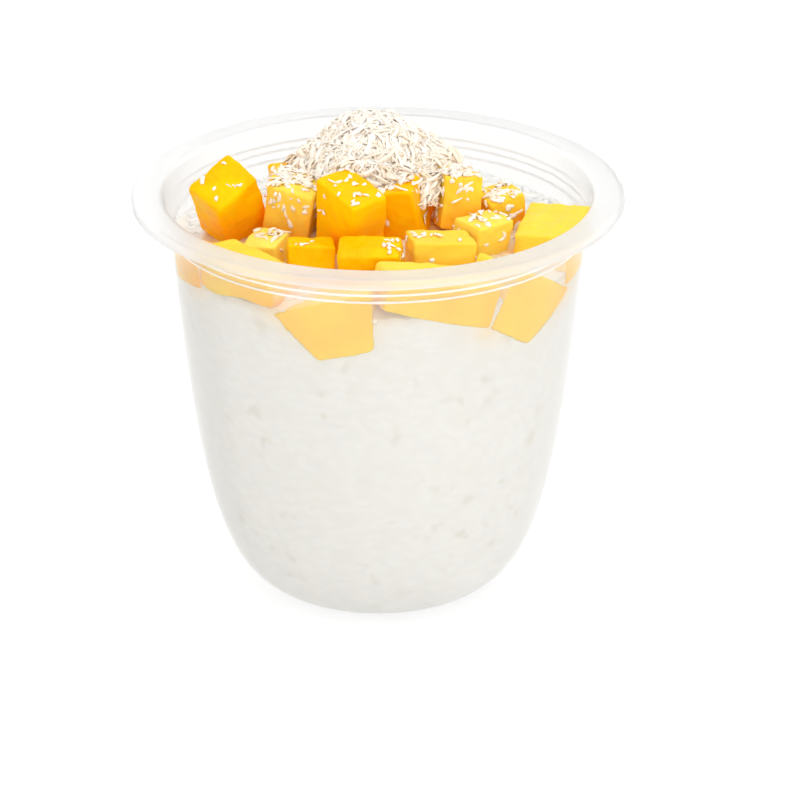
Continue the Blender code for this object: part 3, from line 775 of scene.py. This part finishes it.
@dataclass
class MangoDie:
    """One die of mango, grown from the six cut faces of its CAD node."""

    node: str
    pale: float = 0.0
    cells: int = 34
    edge_power: float = 17.0
    wave: float = 0.15 * MM
    wave_lengths: tuple = (7.0 * MM, 2.8 * MM)
    spread: float = 1.3 * MM
    press: float = 0.13 * MM
    facing: tuple = (0.45, 0.85)
    nook_reach: float = 1.6 * MM
    nook_band: tuple = (4 * MM, 7 * MM)
    shade_band: tuple = (2 * MM, 8 * MM)
    sag_end: tuple = (-3 * MM, 5 * MM)
    sag_band: tuple = (1 * MM, 4 * MM)
    sideways: float = 0.5
    normals: np.ndarray = field(default=None, repr=False)
    reaches: np.ndarray = field(default=None, repr=False)
    middle: np.ndarray = field(default=None, repr=False)

    def __post_init__(self) -> None:
        """Finds the node's six widest flat faces: their outward ways, reaches and common middle."""
        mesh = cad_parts[self.node].data
        mesh.calc_loop_triangles()
        points = np.empty(len(mesh.vertices) * 3, np.float32)
        mesh.vertices.foreach_get("co", points)
        corners = np.empty(len(mesh.loop_triangles) * 3, np.int32)
        mesh.loop_triangles.foreach_get("vertices", corners)
        facets = points.reshape(-1, 3).astype(float)[corners.reshape(-1, 3)]
        across = np.cross(facets[:, 1] - facets[:, 0], facets[:, 2] - facets[:, 0])
        area = np.linalg.norm(across, axis=1)
        ways = across / np.maximum(area, 1e-12)[:, None]
        left = area.copy()
        normals, reaches, middles = [], [], []
        for _ in range(6):
            alike = ways @ ways.T > ONE_FACE
            best = (alike * left).sum(1).argmax()
            group = alike[best] & (left > 0)
            way = (ways[group] * area[group, None]).sum(0)
            way /= np.linalg.norm(way)
            normals.append(way)
            centre = np.average(facets[group].mean(1), axis=0, weights=area[group])
            middles.append(centre)
            reaches.append(centre @ way)
            left[ways @ way > OTHER_FACE] = 0.0
        self.normals, self.reaches = np.array(normals), np.array(reaches)
        self.middle = np.mean(middles, axis=0)

    def outside(self, points: np.ndarray) -> np.ndarray:
        """How far points lie outside the die, below zero where they lie in it."""
        return (points @ self.normals.T - self.reaches).max(-1)

    def top(self, x: np.ndarray, y: np.ndarray) -> np.ndarray:
        """Height of the die's top over places: the lowest of its upward faces there, if it is over
        its highest downward face. Faces that are nearly upright only bound it.

        Args:
            x: Places along X.
            y: Places along Y.

        Returns:
            The heights, -1 where the die isn't.
        """
        up = self.normals[:, 2]
        upright = np.abs(up) <= NEARLY_UPRIGHT
        rise = self.reaches - x[..., None] * self.normals[:, 0] - y[..., None] * self.normals[:, 1]
        height = rise / np.where(upright, NEARLY_UPRIGHT, up)
        above = np.where(up > NEARLY_UPRIGHT, height, np.inf).min(-1)
        below = np.where(up < -NEARLY_UPRIGHT, height, -np.inf).max(-1)
        beside = np.where(upright, rise, 1.0).min(-1) > 0
        return np.where((above > below) & beside, above, -1.0)

    def axes(self) -> np.ndarray:
        """Its three half sides as vectors: the mean way and half span of each pair of faces.

        Returns:
            The three vectors, one to a row.
        """
        left = list(range(6))
        sides = []
        while left:
            one = left.pop(0)
            two = left.pop(int(np.argmin(self.normals[left] @ self.normals[one])))
            way = self.normals[one] - self.normals[two]
            both = self.normals[one] + self.normals[two]
            span = self.reaches[one] + self.reaches[two] - self.middle @ both
            sides.append(way / np.linalg.norm(way) * span / 2)
        return np.array(sides)

    def along(self) -> np.ndarray:
        """The level way along the cup's wall at the die."""
        return np.array([-self.middle[1], self.middle[0], 0.0]) / np.hypot(*self.middle[:2])

    def sag(self, points: np.ndarray) -> np.ndarray:
        """How far a die's left end hangs down the wall: more towards its left and its underside.

        Args:
            points: Places on the die.

        Returns:
            The drops.
        """
        left = smooth_step((self.middle - points) @ self.along(), *self.sag_end)
        under = smooth_step(self.middle[2] - points[:, 2] + self.sag_band[0], 0.0, self.sag_band[1])
        return SAGGING.get(self.node, 0.0) * MM * left * under

    def skin(self, rays: np.ndarray) -> tuple[np.ndarray, np.ndarray]:
        """Where rays from the middle meet the die: at the power mean of its faces' reaches, which
        rounds its edges.

        Args:
            rays: The rays, one to a row.

        Returns:
            The places, and the ways outward there.
        """
        spans = self.reaches - self.normals @ self.middle
        if "wall" in self.node:
            spans = spans + self.spread * (np.abs(self.normals @ self.along()) > self.sideways)
        shares = np.maximum(rays @ self.normals.T / spans, 0.0)
        length = (shares ** self.edge_power).sum(1) ** (-1 / self.edge_power)
        away = (shares ** (self.edge_power - 1)) @ (self.normals / spans[:, None])
        return self.middle + rays * length[:, None], away / np.linalg.norm(away, axis=1)[:, None]

    def build(self, number: int, others: list["MangoDie"], cup: DessertCup,
              material: bpy.types.Material) -> bpy.types.Object:
        """The die: its skin with a slow unevenness, pressed flat where it lies against the wall.

        Args:
            number: Its place in the row, for the random draws.
            others: Its neighbours.
            cup: The cup, against which the dice of the wall are pressed flat.
            material: The finish.

        Returns:
            The die.
        """
        shell, quads = cube_shell(self.cells)
        sides = self.axes()
        points, away = self.skin(shell @ sides)
        long, fine = self.wave_lengths
        uneven = ripples(*points.T, long, 40 + number) + 0.5 * ripples(*points.T, fine, 90 + number)
        points += away * (self.wave * uneven)[:, None]
        if "wall" in self.node:
            points[:, 2] -= self.sag(points)
            reach = np.hypot(points[:, 0], points[:, 1])
            out = points[:, :2] / reach[:, None]
            facing = smooth_step((away[:, :2] * out).sum(1), *self.facing)
            target = cup.inner_radius(points[:, 2]) + self.press
            points[:, :2] += out * ((target - reach) * facing)[:, None]
        # Painted shade: a deeper orange near the neighbouring dice and towards the underside, where
        # shade falls.
        gap = np.min([other.outside(points) for other in others], axis=0)
        painted_shade = np.exp(-np.maximum(gap, 0.0) / self.nook_reach)
        under = self.middle[2] - points[:, 2]
        low = smooth_step(under + self.nook_band[0], 0.0, self.nook_band[1])
        deep = smooth_step(under + self.shade_band[0], 0.0, self.shade_band[1])
        nook_share, shade_share = next(DARKENING[kind] for kind in DARKENING if kind in self.node)
        painted_shade = np.maximum(nook_share * painted_shade * low, shade_share * deep)
        ways = sides / np.linalg.norm(sides, axis=1)[:, None]
        attributes = {"cut": (points - self.middle) @ ways.T + 0.05 * number,
                      "pale": np.full(len(points), self.pale), "painted_shade": painted_shade}
        obj = add_surface(self.node + "_flesh", points, quads, attributes=attributes)
        return put_in(obj, material, Slot.MANGO, self.node)


def cube_shell(cells: int, gather: float = 0.45) -> tuple[np.ndarray, np.ndarray]:
    """A cube of half side 1 as one closed grid, with its lines drawn a little towards its edges.

    A line lies at u plus a sine of u; the six sides' shared points are merged.

    Args:
        cells: Cells along a side.
        gather: How far the lines are drawn to the edges, below 1.

    Returns:
        The points and the quads.
    """
    u = np.linspace(-1, 1, cells + 1)
    u = u + gather / math.pi * np.sin(math.pi * u)
    a, b = np.meshgrid(u, u, indexing="ij")
    index = np.arange((cells + 1) ** 2).reshape(cells + 1, cells + 1)
    square = np.stack([index[:-1, :-1], index[1:, :-1], index[1:, 1:], index[:-1, 1:]], -1)
    points, quads = [], []
    for axis in range(3):
        for sign in (-1.0, 1.0):
            side = np.empty((cells + 1, cells + 1, 3))
            side[..., axis] = sign
            side[..., (axis + 1) % 3] = a * sign
            side[..., (axis + 2) % 3] = b
            quads.append(square.reshape(-1, 4) + len(points) * index.size)
            points.append(side.reshape(-1, 3))
    merged, new = np.unique(np.round(np.vstack(points), 6), axis=0, return_inverse=True)
    return merged, new.ravel()[np.vstack(quads)]


# ---- Coconut -----------------------------------------------------------------------------------
@dataclass
class CoconutMound:
    """The heap of shredded coconut: an uneven mound under a thatch of shreds."""

    centre: tuple = (-1.2 * MM, 5.0 * MM)
    radius: float = 16.5 * MM
    top: float = 12.5 * MM
    base: float = -1.0 * MM
    roundness: float = 1.9
    waves: tuple = (0.08, 0.05, 0.06)
    skirt: float = 1.5 * MM
    skirt_rings: int = 8
    tuck: float = 0.35
    core: float = 0.94
    under_shreds: float = 0.45 * MM
    rough: tuple = (0.22 * MM, 0.12 * MM)
    rings: int = 60
    sides: int = 144

    def height(self, x: np.ndarray, y: np.ndarray) -> np.ndarray:
        """Height of the mound: 1 less a power of the share of its uneven reach, and a wavy side.

        Args:
            x: Places along X.
            y: Places along Y.

        Returns:
            The heights.
        """
        dx, dy = x - self.centre[0], y - self.centre[1]
        angle = np.arctan2(dy, dx)
        broad, fine, side = self.waves
        reach = self.radius * (1 + broad * np.sin(3 * angle + 1) + fine * np.sin(5 * angle))
        t = np.minimum(1.0, np.hypot(dx, dy) / reach)
        rise = 1 - t ** self.roundness + side * np.sin(9 * t + 2 * angle) * t
        return CUP_HEIGHT + self.base + (self.top - self.base) * np.maximum(0.0, rise)

    def build(self, material: bpy.types.Material, dice: list[MangoDie]) -> bpy.types.Object:
        """The mound under the shreds: rings out from its middle, down its skirt and back in below.

        Args:
            material: The finish.
            dice: The dice, whose juice stains it and whose orange bounce light is painted on it.

        Returns:
            The mound.
        """
        turn = around(self.sides)
        share = np.linspace(0, self.core, self.rings + 1)[1:, None]
        x = self.centre[0] + self.radius * share * np.cos(turn)
        y = self.centre[1] + self.radius * share * np.sin(turn)
        rough = self.rough[0] * ripples(x, y, 0 * x, 1.6 * MM, 21, 12)
        rough += self.rough[1] * ripples(x, y, 0 * x, 0.8 * MM, 22, 12)
        z = self.height(x, y) - self.under_shreds + rough
        foot = CUP_HEIGHT + self.base - self.skirt
        down = np.linspace(0, 1, self.skirt_rings + 1)[1:, None]
        rim = np.broadcast_arrays(x[-1:], y[-1:], down * self.skirt)
        inward = (1 - self.tuck * down ** 2) * (1 + 0.012 * ripples(*rim, 1.5 * MM, 24, 12))
        lower = np.stack([self.centre[0] + (x[-1:] - self.centre[0]) * inward,
                          self.centre[1] + (y[-1:] - self.centre[1]) * inward,
                          z[-1:] + (foot - z[-1:]) * down], -1)
        rings = np.vstack([np.stack([x, y, z], -1), lower]).reshape(-1, 3)
        points = np.vstack([[(*self.centre, z[0].mean())], rings, [(*self.centre, foot)]])
        tone = 0.45 + 0.25 * ripples(*points.T, 1.5 * MM, 23)
        faces = rings_to_faces(self.rings + self.skirt_rings, self.sides)
        # Juice stain and painted orange bounce light between the dice.
        juice_and_bounce = juice_and_bounce_at(points, dice, 1.0 * MM)
        obj = add_surface("coconut_mound", points, *faces, {"tone": tone, "juice_and_bounce": juice_and_bounce})
        return put_in(obj, material, Slot.COCONUT, "coconut_heap")


@dataclass
class Topping:
    """What lies on the pudding, and how high it stands over any place."""

    fill: PuddingFill
    dice: list[MangoDie]
    mound: CoconutMound

    def dice_top(self, x: np.ndarray, y: np.ndarray) -> np.ndarray:
        """Height of the highest die over places, -1 where none is."""
        return np.max([die.top(x, y) for die in self.dice], axis=0)

    def top(self, x: np.ndarray, y: np.ndarray) -> np.ndarray:
        """Height of what lies highest over places: a die, the mound or the pudding.

        Args:
            x: Places along X.
            y: Places along Y.

        Returns:
            The heights.
        """
        reach = np.hypot(x - self.mound.centre[0], y - self.mound.centre[1])
        mound = np.where(reach < self.mound.radius, self.mound.height(x, y), -1.0)
        return np.max([self.dice_top(x, y), mound, self.fill.level(x, y)], axis=0)


@dataclass
class Shreds:
    """Strips of coconut, all in one piece: each is a bent, twisted strip of a few stations."""

    name: str
    length: tuple = (1.0 * MM, 5.0 * MM)
    short: float = 1.7
    width: tuple = (0.35 * MM, 1.05 * MM)
    thick: tuple = (0.16 * MM, 0.3 * MM)
    bend: float = 0.28
    twist: float = 1.2
    roll: float = 0.5
    narrowing: float = 0.3
    # Share of juice stain and painted orange bounce light on the strips.
    juice_and_bounce_share: float = 0.6
    droop: float = 1.1
    steepest: tuple = (0.9, 1.1)
    raised: tuple = (0.45, 1.0)
    stations: int = 5

    def strips(self, ends: np.ndarray, lift: np.ndarray, rng: np.random.Generator, ceiling: float,
               dice: list[MangoDie], above: np.ndarray | tuple = UPWARDS) -> bpy.types.Object:
        """Builds strips between pairs of ends: a middle line bent sideways and upwards by 1 less
        the square of the way along it, and a rectangle carried along it that narrows and twists.

        Args:
            ends: The two ends of each strip, as (strips, 2, 3).
            lift: How far each strip's middle is bent upwards.
            rng: The random draws.
            ceiling: The height that no strip passes.
            dice: The dice, whose juice stains them and whose orange bounce light is painted on
                them.
            above: The way that their broad sides face, for all or for each.

        Returns:
            The piece.
        """
        count = len(ends)
        run = ends[:, 1] - ends[:, 0]
        ahead = run / np.linalg.norm(run, axis=1)[:, None]
        side = np.cross(above, ahead)
        side /= np.maximum(np.linalg.norm(side, axis=1), 1e-6)[:, None]
        up = np.cross(ahead, side)
        s = np.linspace(-1, 1, self.stations)
        bow = rng.uniform(-1, 1, count) * self.bend * np.linalg.norm(run, axis=1)
        curve = (1 - s ** 2)[None, :, None]
        line = ends.mean(1)[:, None] + run[:, None] * s[None, :, None] / 2
        line = line + side[:, None] * curve * bow[:, None, None]
        line = line + up[:, None] * curve * lift[:, None, None]
        angle = rng.uniform(-1, 1, count)[:, None] * self.twist * s
        angle += rng.uniform(-self.roll, self.roll, count)[:, None]
        taper = 1 - self.narrowing * s ** 4
        half = rng.uniform(*self.width, count)[:, None] * taper / 2
        deep = rng.uniform(*self.thick, count)[:, None] * taper / 2
        corners = []
        for across, over in ((-1, -1), (1, -1), (1, 1), (-1, 1)):
            w, t = across * half, over * deep
            aside = (w * np.cos(angle) - t * np.sin(angle))[..., None]
            raised = (w * np.sin(angle) + t * np.cos(angle))[..., None]
            corners.append(line + side[:, None] * aside + up[:, None] * raised)
        points = np.stack(corners, 2).reshape(-1, 3)
        points[:, 2] = np.minimum(points[:, 2], ceiling)
        station, corner = np.meshgrid(np.arange(self.stations - 1), np.arange(4), indexing="ij")
        here, across = station * 4 + corner, station * 4 + (corner + 1) % 4
        one = np.stack([here, across, across + 4, here + 4], -1).reshape(-1, 4)
        last = (self.stations - 1) * 4
        one = np.vstack([one, [(3, 2, 1, 0)], [(last, last + 1, last + 2, last + 3)]])
        quads = (one[None] + np.arange(count)[:, None, None] * self.stations * 4).reshape(-1, 4)
        tone = np.repeat(rng.uniform(0, 1, count), self.stations * 4)
        # Juice stain and painted orange bounce light near the dice.
        juice_and_bounce = self.juice_and_bounce_share * juice_and_bounce_at(points, dice, 1.0 * MM)
        return add_surface(self.name, points, quads, attributes={"tone": tone, "juice_and_bounce": juice_and_bounce})

    def laid(self, x: np.ndarray, y: np.ndarray, heading: np.ndarray, topping: Topping,
             rng: np.random.Generator, lie: tuple) -> np.ndarray:
        """Lays straight strips down: each rests its two ends on what is under them, and is raised
        by half or more of what would stick up through it. Those that would hang steeply over a
        die's edge are left out.

        Args:
            x: The middles along X.
            y: The middles along Y.
            heading: The turn of each strip.
            topping: What they lie on.
            rng: The random draws.
            lie: How far under or over it they may lie, from and to.

        Returns:
            The two ends of each strip.
        """
        least, most = self.length
        length = least + (most - least) * rng.uniform(0, 1, len(x)) ** self.short
        s = np.linspace(-0.5, 0.5, 5)
        px = x[:, None] + np.cos(heading)[:, None] * s * length[:, None]
        py = y[:, None] + np.sin(heading)[:, None] * s * length[:, None]
        ground = topping.top(px, py)
        fall = self.droop * length / 2
        ground[:, [0, -1]] = np.maximum(ground[:, [0, -1]], ground[:, 2:3] - fall[:, None])
        steep = np.ptp(ground, 1) / length
        flat = (ground.max(1) - ground[:, 2] < fall) & (steep < self.steepest[0])
        clear = (topping.dice_top(px, py) < ground - 0.02 * MM).all(1)
        kept = flat | (clear & (steep < self.steepest[1]))
        px, py, ground, length = px[kept], py[kept], ground[kept], length[kept]
        straight = ground[:, :1] + (ground[:, -1:] - ground[:, :1]) * (s + 0.5)
        over = np.maximum(0.0, (ground - straight)[:, 1:-1].max(1))
        share = rng.uniform(*self.raised, len(px))
        raised = straight + (over * share + rng.uniform(*lie, len(px)))[:, None]
        return np.stack([np.stack([px[:, k], py[:, k], raised[:, k]], -1) for k in (0, -1)], 1)


@dataclass
class Clump:
    """A scatter of loose shreds: its middle and spread in mm, and how many."""

    x: float
    y: float
    spread: float
    count: int


CLUMPS = [
    Clump(-18.0, -6.0, 3.6, 40), Clump(-20.5, -13.5, 2.2, 16), Clump(-15.0, 4.5, 3.6, 44),
    Clump(-14.5, -2.5, 3.4, 36), Clump(12.5, 3.0, 3.4, 44), Clump(15.5, -2.5, 3.4, 52),
    Clump(22.0, -1.0, 3.4, 34), Clump(0.8, -9.5, 0.7, 5), Clump(3.0, -26.0, 1.8, 9),
    Clump(-7.4, -18.5, 1.0, 2), Clump(-27.5, -11.5, 1.4, 4), Clump(20.5, -12.5, 2.4, 7),
    Clump(7.0, -3.0, 2.6, 12), Clump(-5.5, -7.5, 3.0, 10), Clump(-1.0, 21.0, 4.5, 26),
    Clump(11.0, -20.5, 2.4, 4), Clump(-24.5, 3.0, 2.4, 5), Clump(26.5, -12.0, 2.0, 2),
]

# How many flecks cling to the faces of each die, and how far down from its top in mm.
CLINGING = {"mango_left": (14, 3.0), "mango_mid_1": (70, 7.0), "mango_mid_2": (26, 4.0),
            "mango_mid_3": (36, 3.5), "mango_mid_4": (80, 6.5), "mango_mid_5": (64, 4.0),
            "mango_row_1": (8, 2.5), "mango_row_2": (4, 3.0), "mango_row_3": (10, 3.0),
            "mango_row_4": (10, 2.5), "mango_row_5": (24, 3.0), "mango_back_1": (34, 4.0),
            "mango_back_3": (20, 4.0), "mango_back_4": (30, 4.0), "mango_back_5": (30, 4.0)}


@dataclass
class CoconutTopping:
    """All the coconut: the mound, the shreds that thatch it, and the loose ones over the dice."""

    thatch: int = 6400
    cover: float = 0.03
    covered: float = 0.4 * MM
    overhang: float = 1.02
    headroom: float = 0.03 * MM
    thatch_lie: tuple = (-0.5 * MM, 1.0 * MM)
    thatch_lift: float = 0.35 * MM
    loose_lie: tuple = (0.0, 0.25 * MM)
    loose_lift: float = 0.2 * MM
    scatter: float = 0.7
    fleck_half: tuple = (0.35 * MM, 1.1 * MM)
    fleck_lift: float = 0.06 * MM
    fleck_inset: float = 0.85
    fleck_clear: tuple = (0.4 * MM, 0.8 * MM)
    underside: float = -0.2

    def build(self, topping: Topping) -> None:
        """Builds the mound and its shreds, then the loose shreds.

        Args:
            topping: What the shreds lie on.
        """
        material = CoconutMeat().material()
        mound = topping.mound
        mound.build(material, topping.dice)
        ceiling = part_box("coconut_heap")[1].z - self.headroom
        rng = np.random.default_rng(7)
        reach = mound.radius * self.overhang * np.sqrt(rng.uniform(0, 1, self.thatch))
        turn = rng.uniform(0, math.tau, self.thatch)
        x = mound.centre[0] + reach * np.cos(turn)
        y = mound.centre[1] + reach * np.sin(turn)
        bare = mound.height(x, y) > topping.dice_top(x, y) - self.covered
        kept = bare | (rng.uniform(0, 1, self.thatch) < self.cover)
        x, y = x[kept], y[kept]
        shreds = Shreds("coconut_thatch")
        ends = shreds.laid(x, y, rng.uniform(0, math.tau, len(x)), topping, rng, self.thatch_lie)
        lift = rng.normal(0.0, self.thatch_lift, len(ends))
        thatch = shreds.strips(ends, lift, rng, ceiling, topping.dice)
        put_in(thatch, material, Slot.COCONUT, "coconut_heap")
        self.loose(topping, material, ceiling)

    def loose(self, topping: Topping, material: bpy.types.Material, ceiling: float) -> None:
        """The loose shreds, strewn about the middles of their clumps.

        Args:
            topping: What they lie on.
            material: The finish.
            ceiling: The height that none passes.
        """
        rng = np.random.default_rng(13)
        middles = [(clump.x, clump.y, clump.spread) for clump in CLUMPS]
        spots = np.repeat(middles, [clump.count for clump in CLUMPS], axis=0) * MM
        offset = rng.normal(0.0, self.scatter, (len(spots), 2)) * spots[:, 2:]
        x, y = (spots[:, :2] + offset).T
        shreds = Shreds("loose_shreds", (0.9 * MM, 3.0 * MM), bend=0.18, juice_and_bounce_share=0.0, droop=0.5)
        laid = shreds.laid(x, y, rng.uniform(0, math.tau, len(x)), topping, rng, self.loose_lie)
        stuck, ways = self.clinging(topping, rng)
        above = np.vstack([np.tile(UPWARDS, (len(laid), 1)), ways])
        ends = np.concatenate([laid, stuck])
        lift = rng.uniform(0.0, self.loose_lift, len(ends))
        obj = shreds.strips(ends, lift, rng, ceiling, topping.dice, above)
        put_in(obj, material, Slot.COCONUT)

    def clinging(self, topping: Topping, rng: np.random.Generator) -> tuple[np.ndarray, np.ndarray]:
        """Flecks that cling to the faces of the dice: at random places of the skin, fewer further
        down, by e to the minus of the depth, each along the face it lies on.

        Args:
            topping: The dice, and what they stand in.
            rng: The random draws.

        Returns:
            The two ends of each fleck, and the way that the face under it looks.
        """
        ends, ways = [], []
        for die in topping.dice:
            count, fall = CLINGING.get(die.node, (0, 1.0))
            cube = rng.uniform(-self.fleck_inset, self.fleck_inset, (count * 4, 3))
            sign = rng.choice((-1.0, 1.0), len(cube))
            cube[np.arange(len(cube)), rng.integers(0, 3, len(cube))] = sign
            points, away = die.skin(cube @ die.axes())
            under = points[:, 2].max(initial=0.0) - points[:, 2]
            kept = rng.uniform(0, 1, len(points)) < np.exp(-under / (fall * MM))
            kept &= away[:, 2] > self.underside
            for other in topping.dice:
                kept &= (other.outside(points) > self.fleck_clear[0]) | (other is die)
            rice = topping.fill.level(points[:, 0], points[:, 1])
            kept &= points[:, 2] > rice + self.fleck_clear[1]
            points, away = points[kept][:count], away[kept][:count]
            along = np.cross(away, rng.normal(0.0, 1.0, away.shape))
            along /= np.linalg.norm(along, axis=1)[:, None]
            half = along * rng.uniform(*self.fleck_half, len(along))[:, None]
            middle = points + away * self.fleck_lift
            ends.append(np.stack([middle - half, middle + half], 1))
            ways.append(away)
        return np.concatenate(ends), np.concatenate(ways)


# ---- Rice grains -------------------------------------------------------------------------------
@dataclass
class RiceGrains:
    """Plump cooked grains that lie half sunk in the pudding's top, all in one piece."""

    finish: RicePudding = RicePudding(cream=(0.87, 0.86, 0.83))
    count: int = 900
    length: tuple = (4.6 * MM, 6.4 * MM)
    width: float = 2.1 * MM
    plump: tuple = (0.85, 1.12)
    flat: float = 0.85
    blunt: float = 0.8
    bow: float = 0.5 * MM
    tilt: float = 0.12
    sunk: tuple = (0.45, 0.95)
    reach: float = 37.4 * MM
    rings: int = 7
    sides: int = 8

    def build(self, topping: Topping) -> bpy.types.Object:
        """The grains: each an ellipsoid, bent a little, lying where no die stands.

        Args:
            topping: What lies on the pudding.

        Returns:
            The piece.
        """
        rng = np.random.default_rng(31)
        reach = self.reach * np.sqrt(rng.uniform(0, 1, self.count))
        turn = rng.uniform(0, math.tau, self.count)
        x, y = reach * np.cos(turn), reach * np.sin(turn)
        free = topping.dice_top(x, y) < 0
        x, y = x[free], y[free]
        count = len(x)
        sunk = rng.uniform(*self.sunk, count) * self.width / 2
        middle = np.stack([x, y, topping.fill.level(x, y) - sunk], -1)
        heading = rng.uniform(0, math.tau, count)
        tilt = rng.normal(0.0, self.tilt, count)
        level = np.cos(tilt)
        ahead = np.stack([np.cos(heading) * level, np.sin(heading) * level, np.sin(tilt)], -1)
        side = np.stack([-np.sin(heading), np.cos(heading), 0 * heading], -1)
        up = np.cross(ahead, side)
        v = np.linspace(0, math.pi, self.rings + 2)[1:-1]
        u = around(self.sides)
        half = rng.uniform(*self.length, count)[:, None, None] / 2
        wide = self.width / 2 * rng.uniform(*self.plump, count)[:, None, None]
        along = np.cos(v)[None, :, None] * half * np.ones((1, 1, self.sides))
        round_ = np.sin(v)[None, :, None] ** self.blunt * wide
        bow = rng.uniform(-self.bow, self.bow, count)[:, None, None] * np.sin(v)[None, :, None]
        across, over = round_ * np.cos(u) + bow, round_ * np.sin(u) * self.flat
        body = (middle[:, None, None] + ahead[:, None, None] * along[..., None]
                + side[:, None, None] * across[..., None] + up[:, None, None] * over[..., None])
        tips = middle[:, None] + ahead[:, None] * np.stack([half[:, 0], -half[:, 0]], 1)
        each = np.concatenate([tips[:, :1], body.reshape(count, -1, 3), tips[:, 1:]], 1)
        step = np.arange(count)[:, None, None] * each.shape[1]
        quads, fans = rings_to_faces(self.rings, self.sides)
        quads, fans = (quads + step).reshape(-1, 4), (fans + step).reshape(-1, 3)
        points = each.reshape(-1, 3)
        # Juice stain and painted orange bounce light near the dice.
        juice_and_bounce = juice_and_bounce_at(points, topping.dice)
        obj = add_surface("rice_grains", points, quads, fans, {"juice_and_bounce": juice_and_bounce})
        return put_in(obj, self.finish.material("rice_grain"), Slot.PUDDING)


# ---- Studio ------------------------------------------------------------------------------------
@dataclass(frozen=True)
class Softbox:
    """A square soft light that faces the object, with its side in metres and power in watts."""

    name: str
    at: tuple
    side: float
    watts: float

    def build(self) -> None:
        """Makes the light."""
        data = bpy.data.lights.new(self.name, "AREA")
        data.size = self.side
        data.energy = self.watts
        light = bpy.data.objects.new(self.name, data)
        light.location = self.at
        light.rotation_euler = light.location.to_track_quat("Z", "Y").to_euler()
        bpy.context.scene.collection.objects.link(light)


@dataclass
class Studio:
    """A white floor, soft lights and the camera at the photograph's angle."""

    distance: float = 0.9
    elevation: float = math.radians(20.9)
    pixels: float = 5.19 * 900
    aim: tuple = (23.5, 211.6)
    floor_half: float = 6.0
    bright_side: tuple = (0.45, -0.35, 0.78)
    turn_over: float = 0.7
    sky: tuple = (0.77, 1.02)
    sky_tint: tuple = (1.0, 0.98, 0.94)
    lights: tuple = (
        Softbox("top_light", (0.1, -0.1, 0.95), 0.8, 2.5),
        Softbox("front_light", (0.2, -1.25, 0.25), 0.7, 2.9),
        Softbox("back_light", (-0.5, 1.2, 0.4), 0.7, 1.2),
    )

    def camera(self) -> None:
        """The camera: over the rim's middle at its distance and elevation, turned so that the rim's
        middle lies left of and above the frame's middle by the aim, in pixels."""
        data = bpy.data.cameras.new("camera")
        data.sensor_width = 36.0
        data.lens = self.pixels / CAMERA_WIDTH * data.sensor_width
        data.clip_end = 20.0
        camera = bpy.data.objects.new("camera", data)
        camera.location = (0.0, -self.distance * math.cos(self.elevation),
                           CUP_HEIGHT + self.distance * math.sin(self.elevation))
        yaw, dip = (math.atan(off / self.pixels) for off in self.aim)
        camera.rotation_euler = Euler((math.pi / 2 - (self.elevation + dip), 0.0, -yaw))
        bpy.context.scene.collection.objects.link(camera)
        bpy.context.scene.camera = camera

    def heaven(self) -> None:
        """The sky: its tone goes evenly from dim to bright with the cosine to the bright side."""
        bench = SkyBench("sky")
        way = bench.node("ShaderNodeTexCoord", out="Generated")
        bright = bench.node("ShaderNodeVectorMath", {"operation": "DOT_PRODUCT"},
                            {0: way, 1: self.bright_side}, out="Value")
        low, high = -self.turn_over, self.turn_over
        share = bench.node("ShaderNodeMapRange", None,
                           {"Value": bright, "From Min": low, "From Max": high})
        dim = tuple(self.sky[0] * part for part in self.sky_tint)
        bench.dress(Color=bench.blend(share, dim, (self.sky[1],) * 3))
        bpy.context.scene.world = bench.world

    def build(self) -> None:
        """Sets the floor, the sky, the lights and the camera."""
        half = self.floor_half
        points = np.array([(-half, -half, 0), (half, -half, 0), (half, half, 0), (-half, half, 0)])
        floor = add_surface("floor", points - (0, 0, 0.1 * MM), np.array([(0, 1, 2, 3)]))
        floor.data.materials.append(PaleFloor().material())
        self.camera()
        self.heaven()
        for light in self.lights:
            light.build()
        bpy.context.scene.view_settings.view_transform = "Standard"


# ---- Building ----------------------------------------------------------------------------------
# How much paler each die's flesh is: its own lighter tone, and on the front row also painted light
# that lifts dice lying in shade.
PALE_DICE = {"mango_wall_1": 0.25, "mango_wall_2": 0.5, "mango_wall_3": 0.5, "mango_wall_4": 0.55,
             "mango_wall_5": 0.6, "mango_wall_6": 0.55, "mango_row_1": 1.0, "mango_row_4": 0.5,
             "mango_row_5": 0.75, "mango_mid_1": 0.7, "mango_mid_4": 0.4, "mango_mid_5": 0.35}


def main() -> None:
    """Builds the cup, what is in it and the studio, in order."""
    logging.basicConfig(level=logging.INFO, format="%(message)s")
    cup = DessertCup()
    cup.build()
    cup.beads()
    fill = PuddingFill(cup)
    names = sorted(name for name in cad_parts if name.startswith("mango"))
    dice = [MangoDie(name, PALE_DICE.get(name, 0.0)) for name in names]
    fill.build(dice)
    flesh = MangoFlesh().material()
    for number, die in enumerate(dice):
        die.build(number, [other for other in dice if other is not die], cup, flesh)
    topping = Topping(fill, dice, CoconutMound())
    CoconutTopping().build(topping)
    RiceGrains().build(topping)
    Studio().build()


if __name__ == "__main__":
    main()
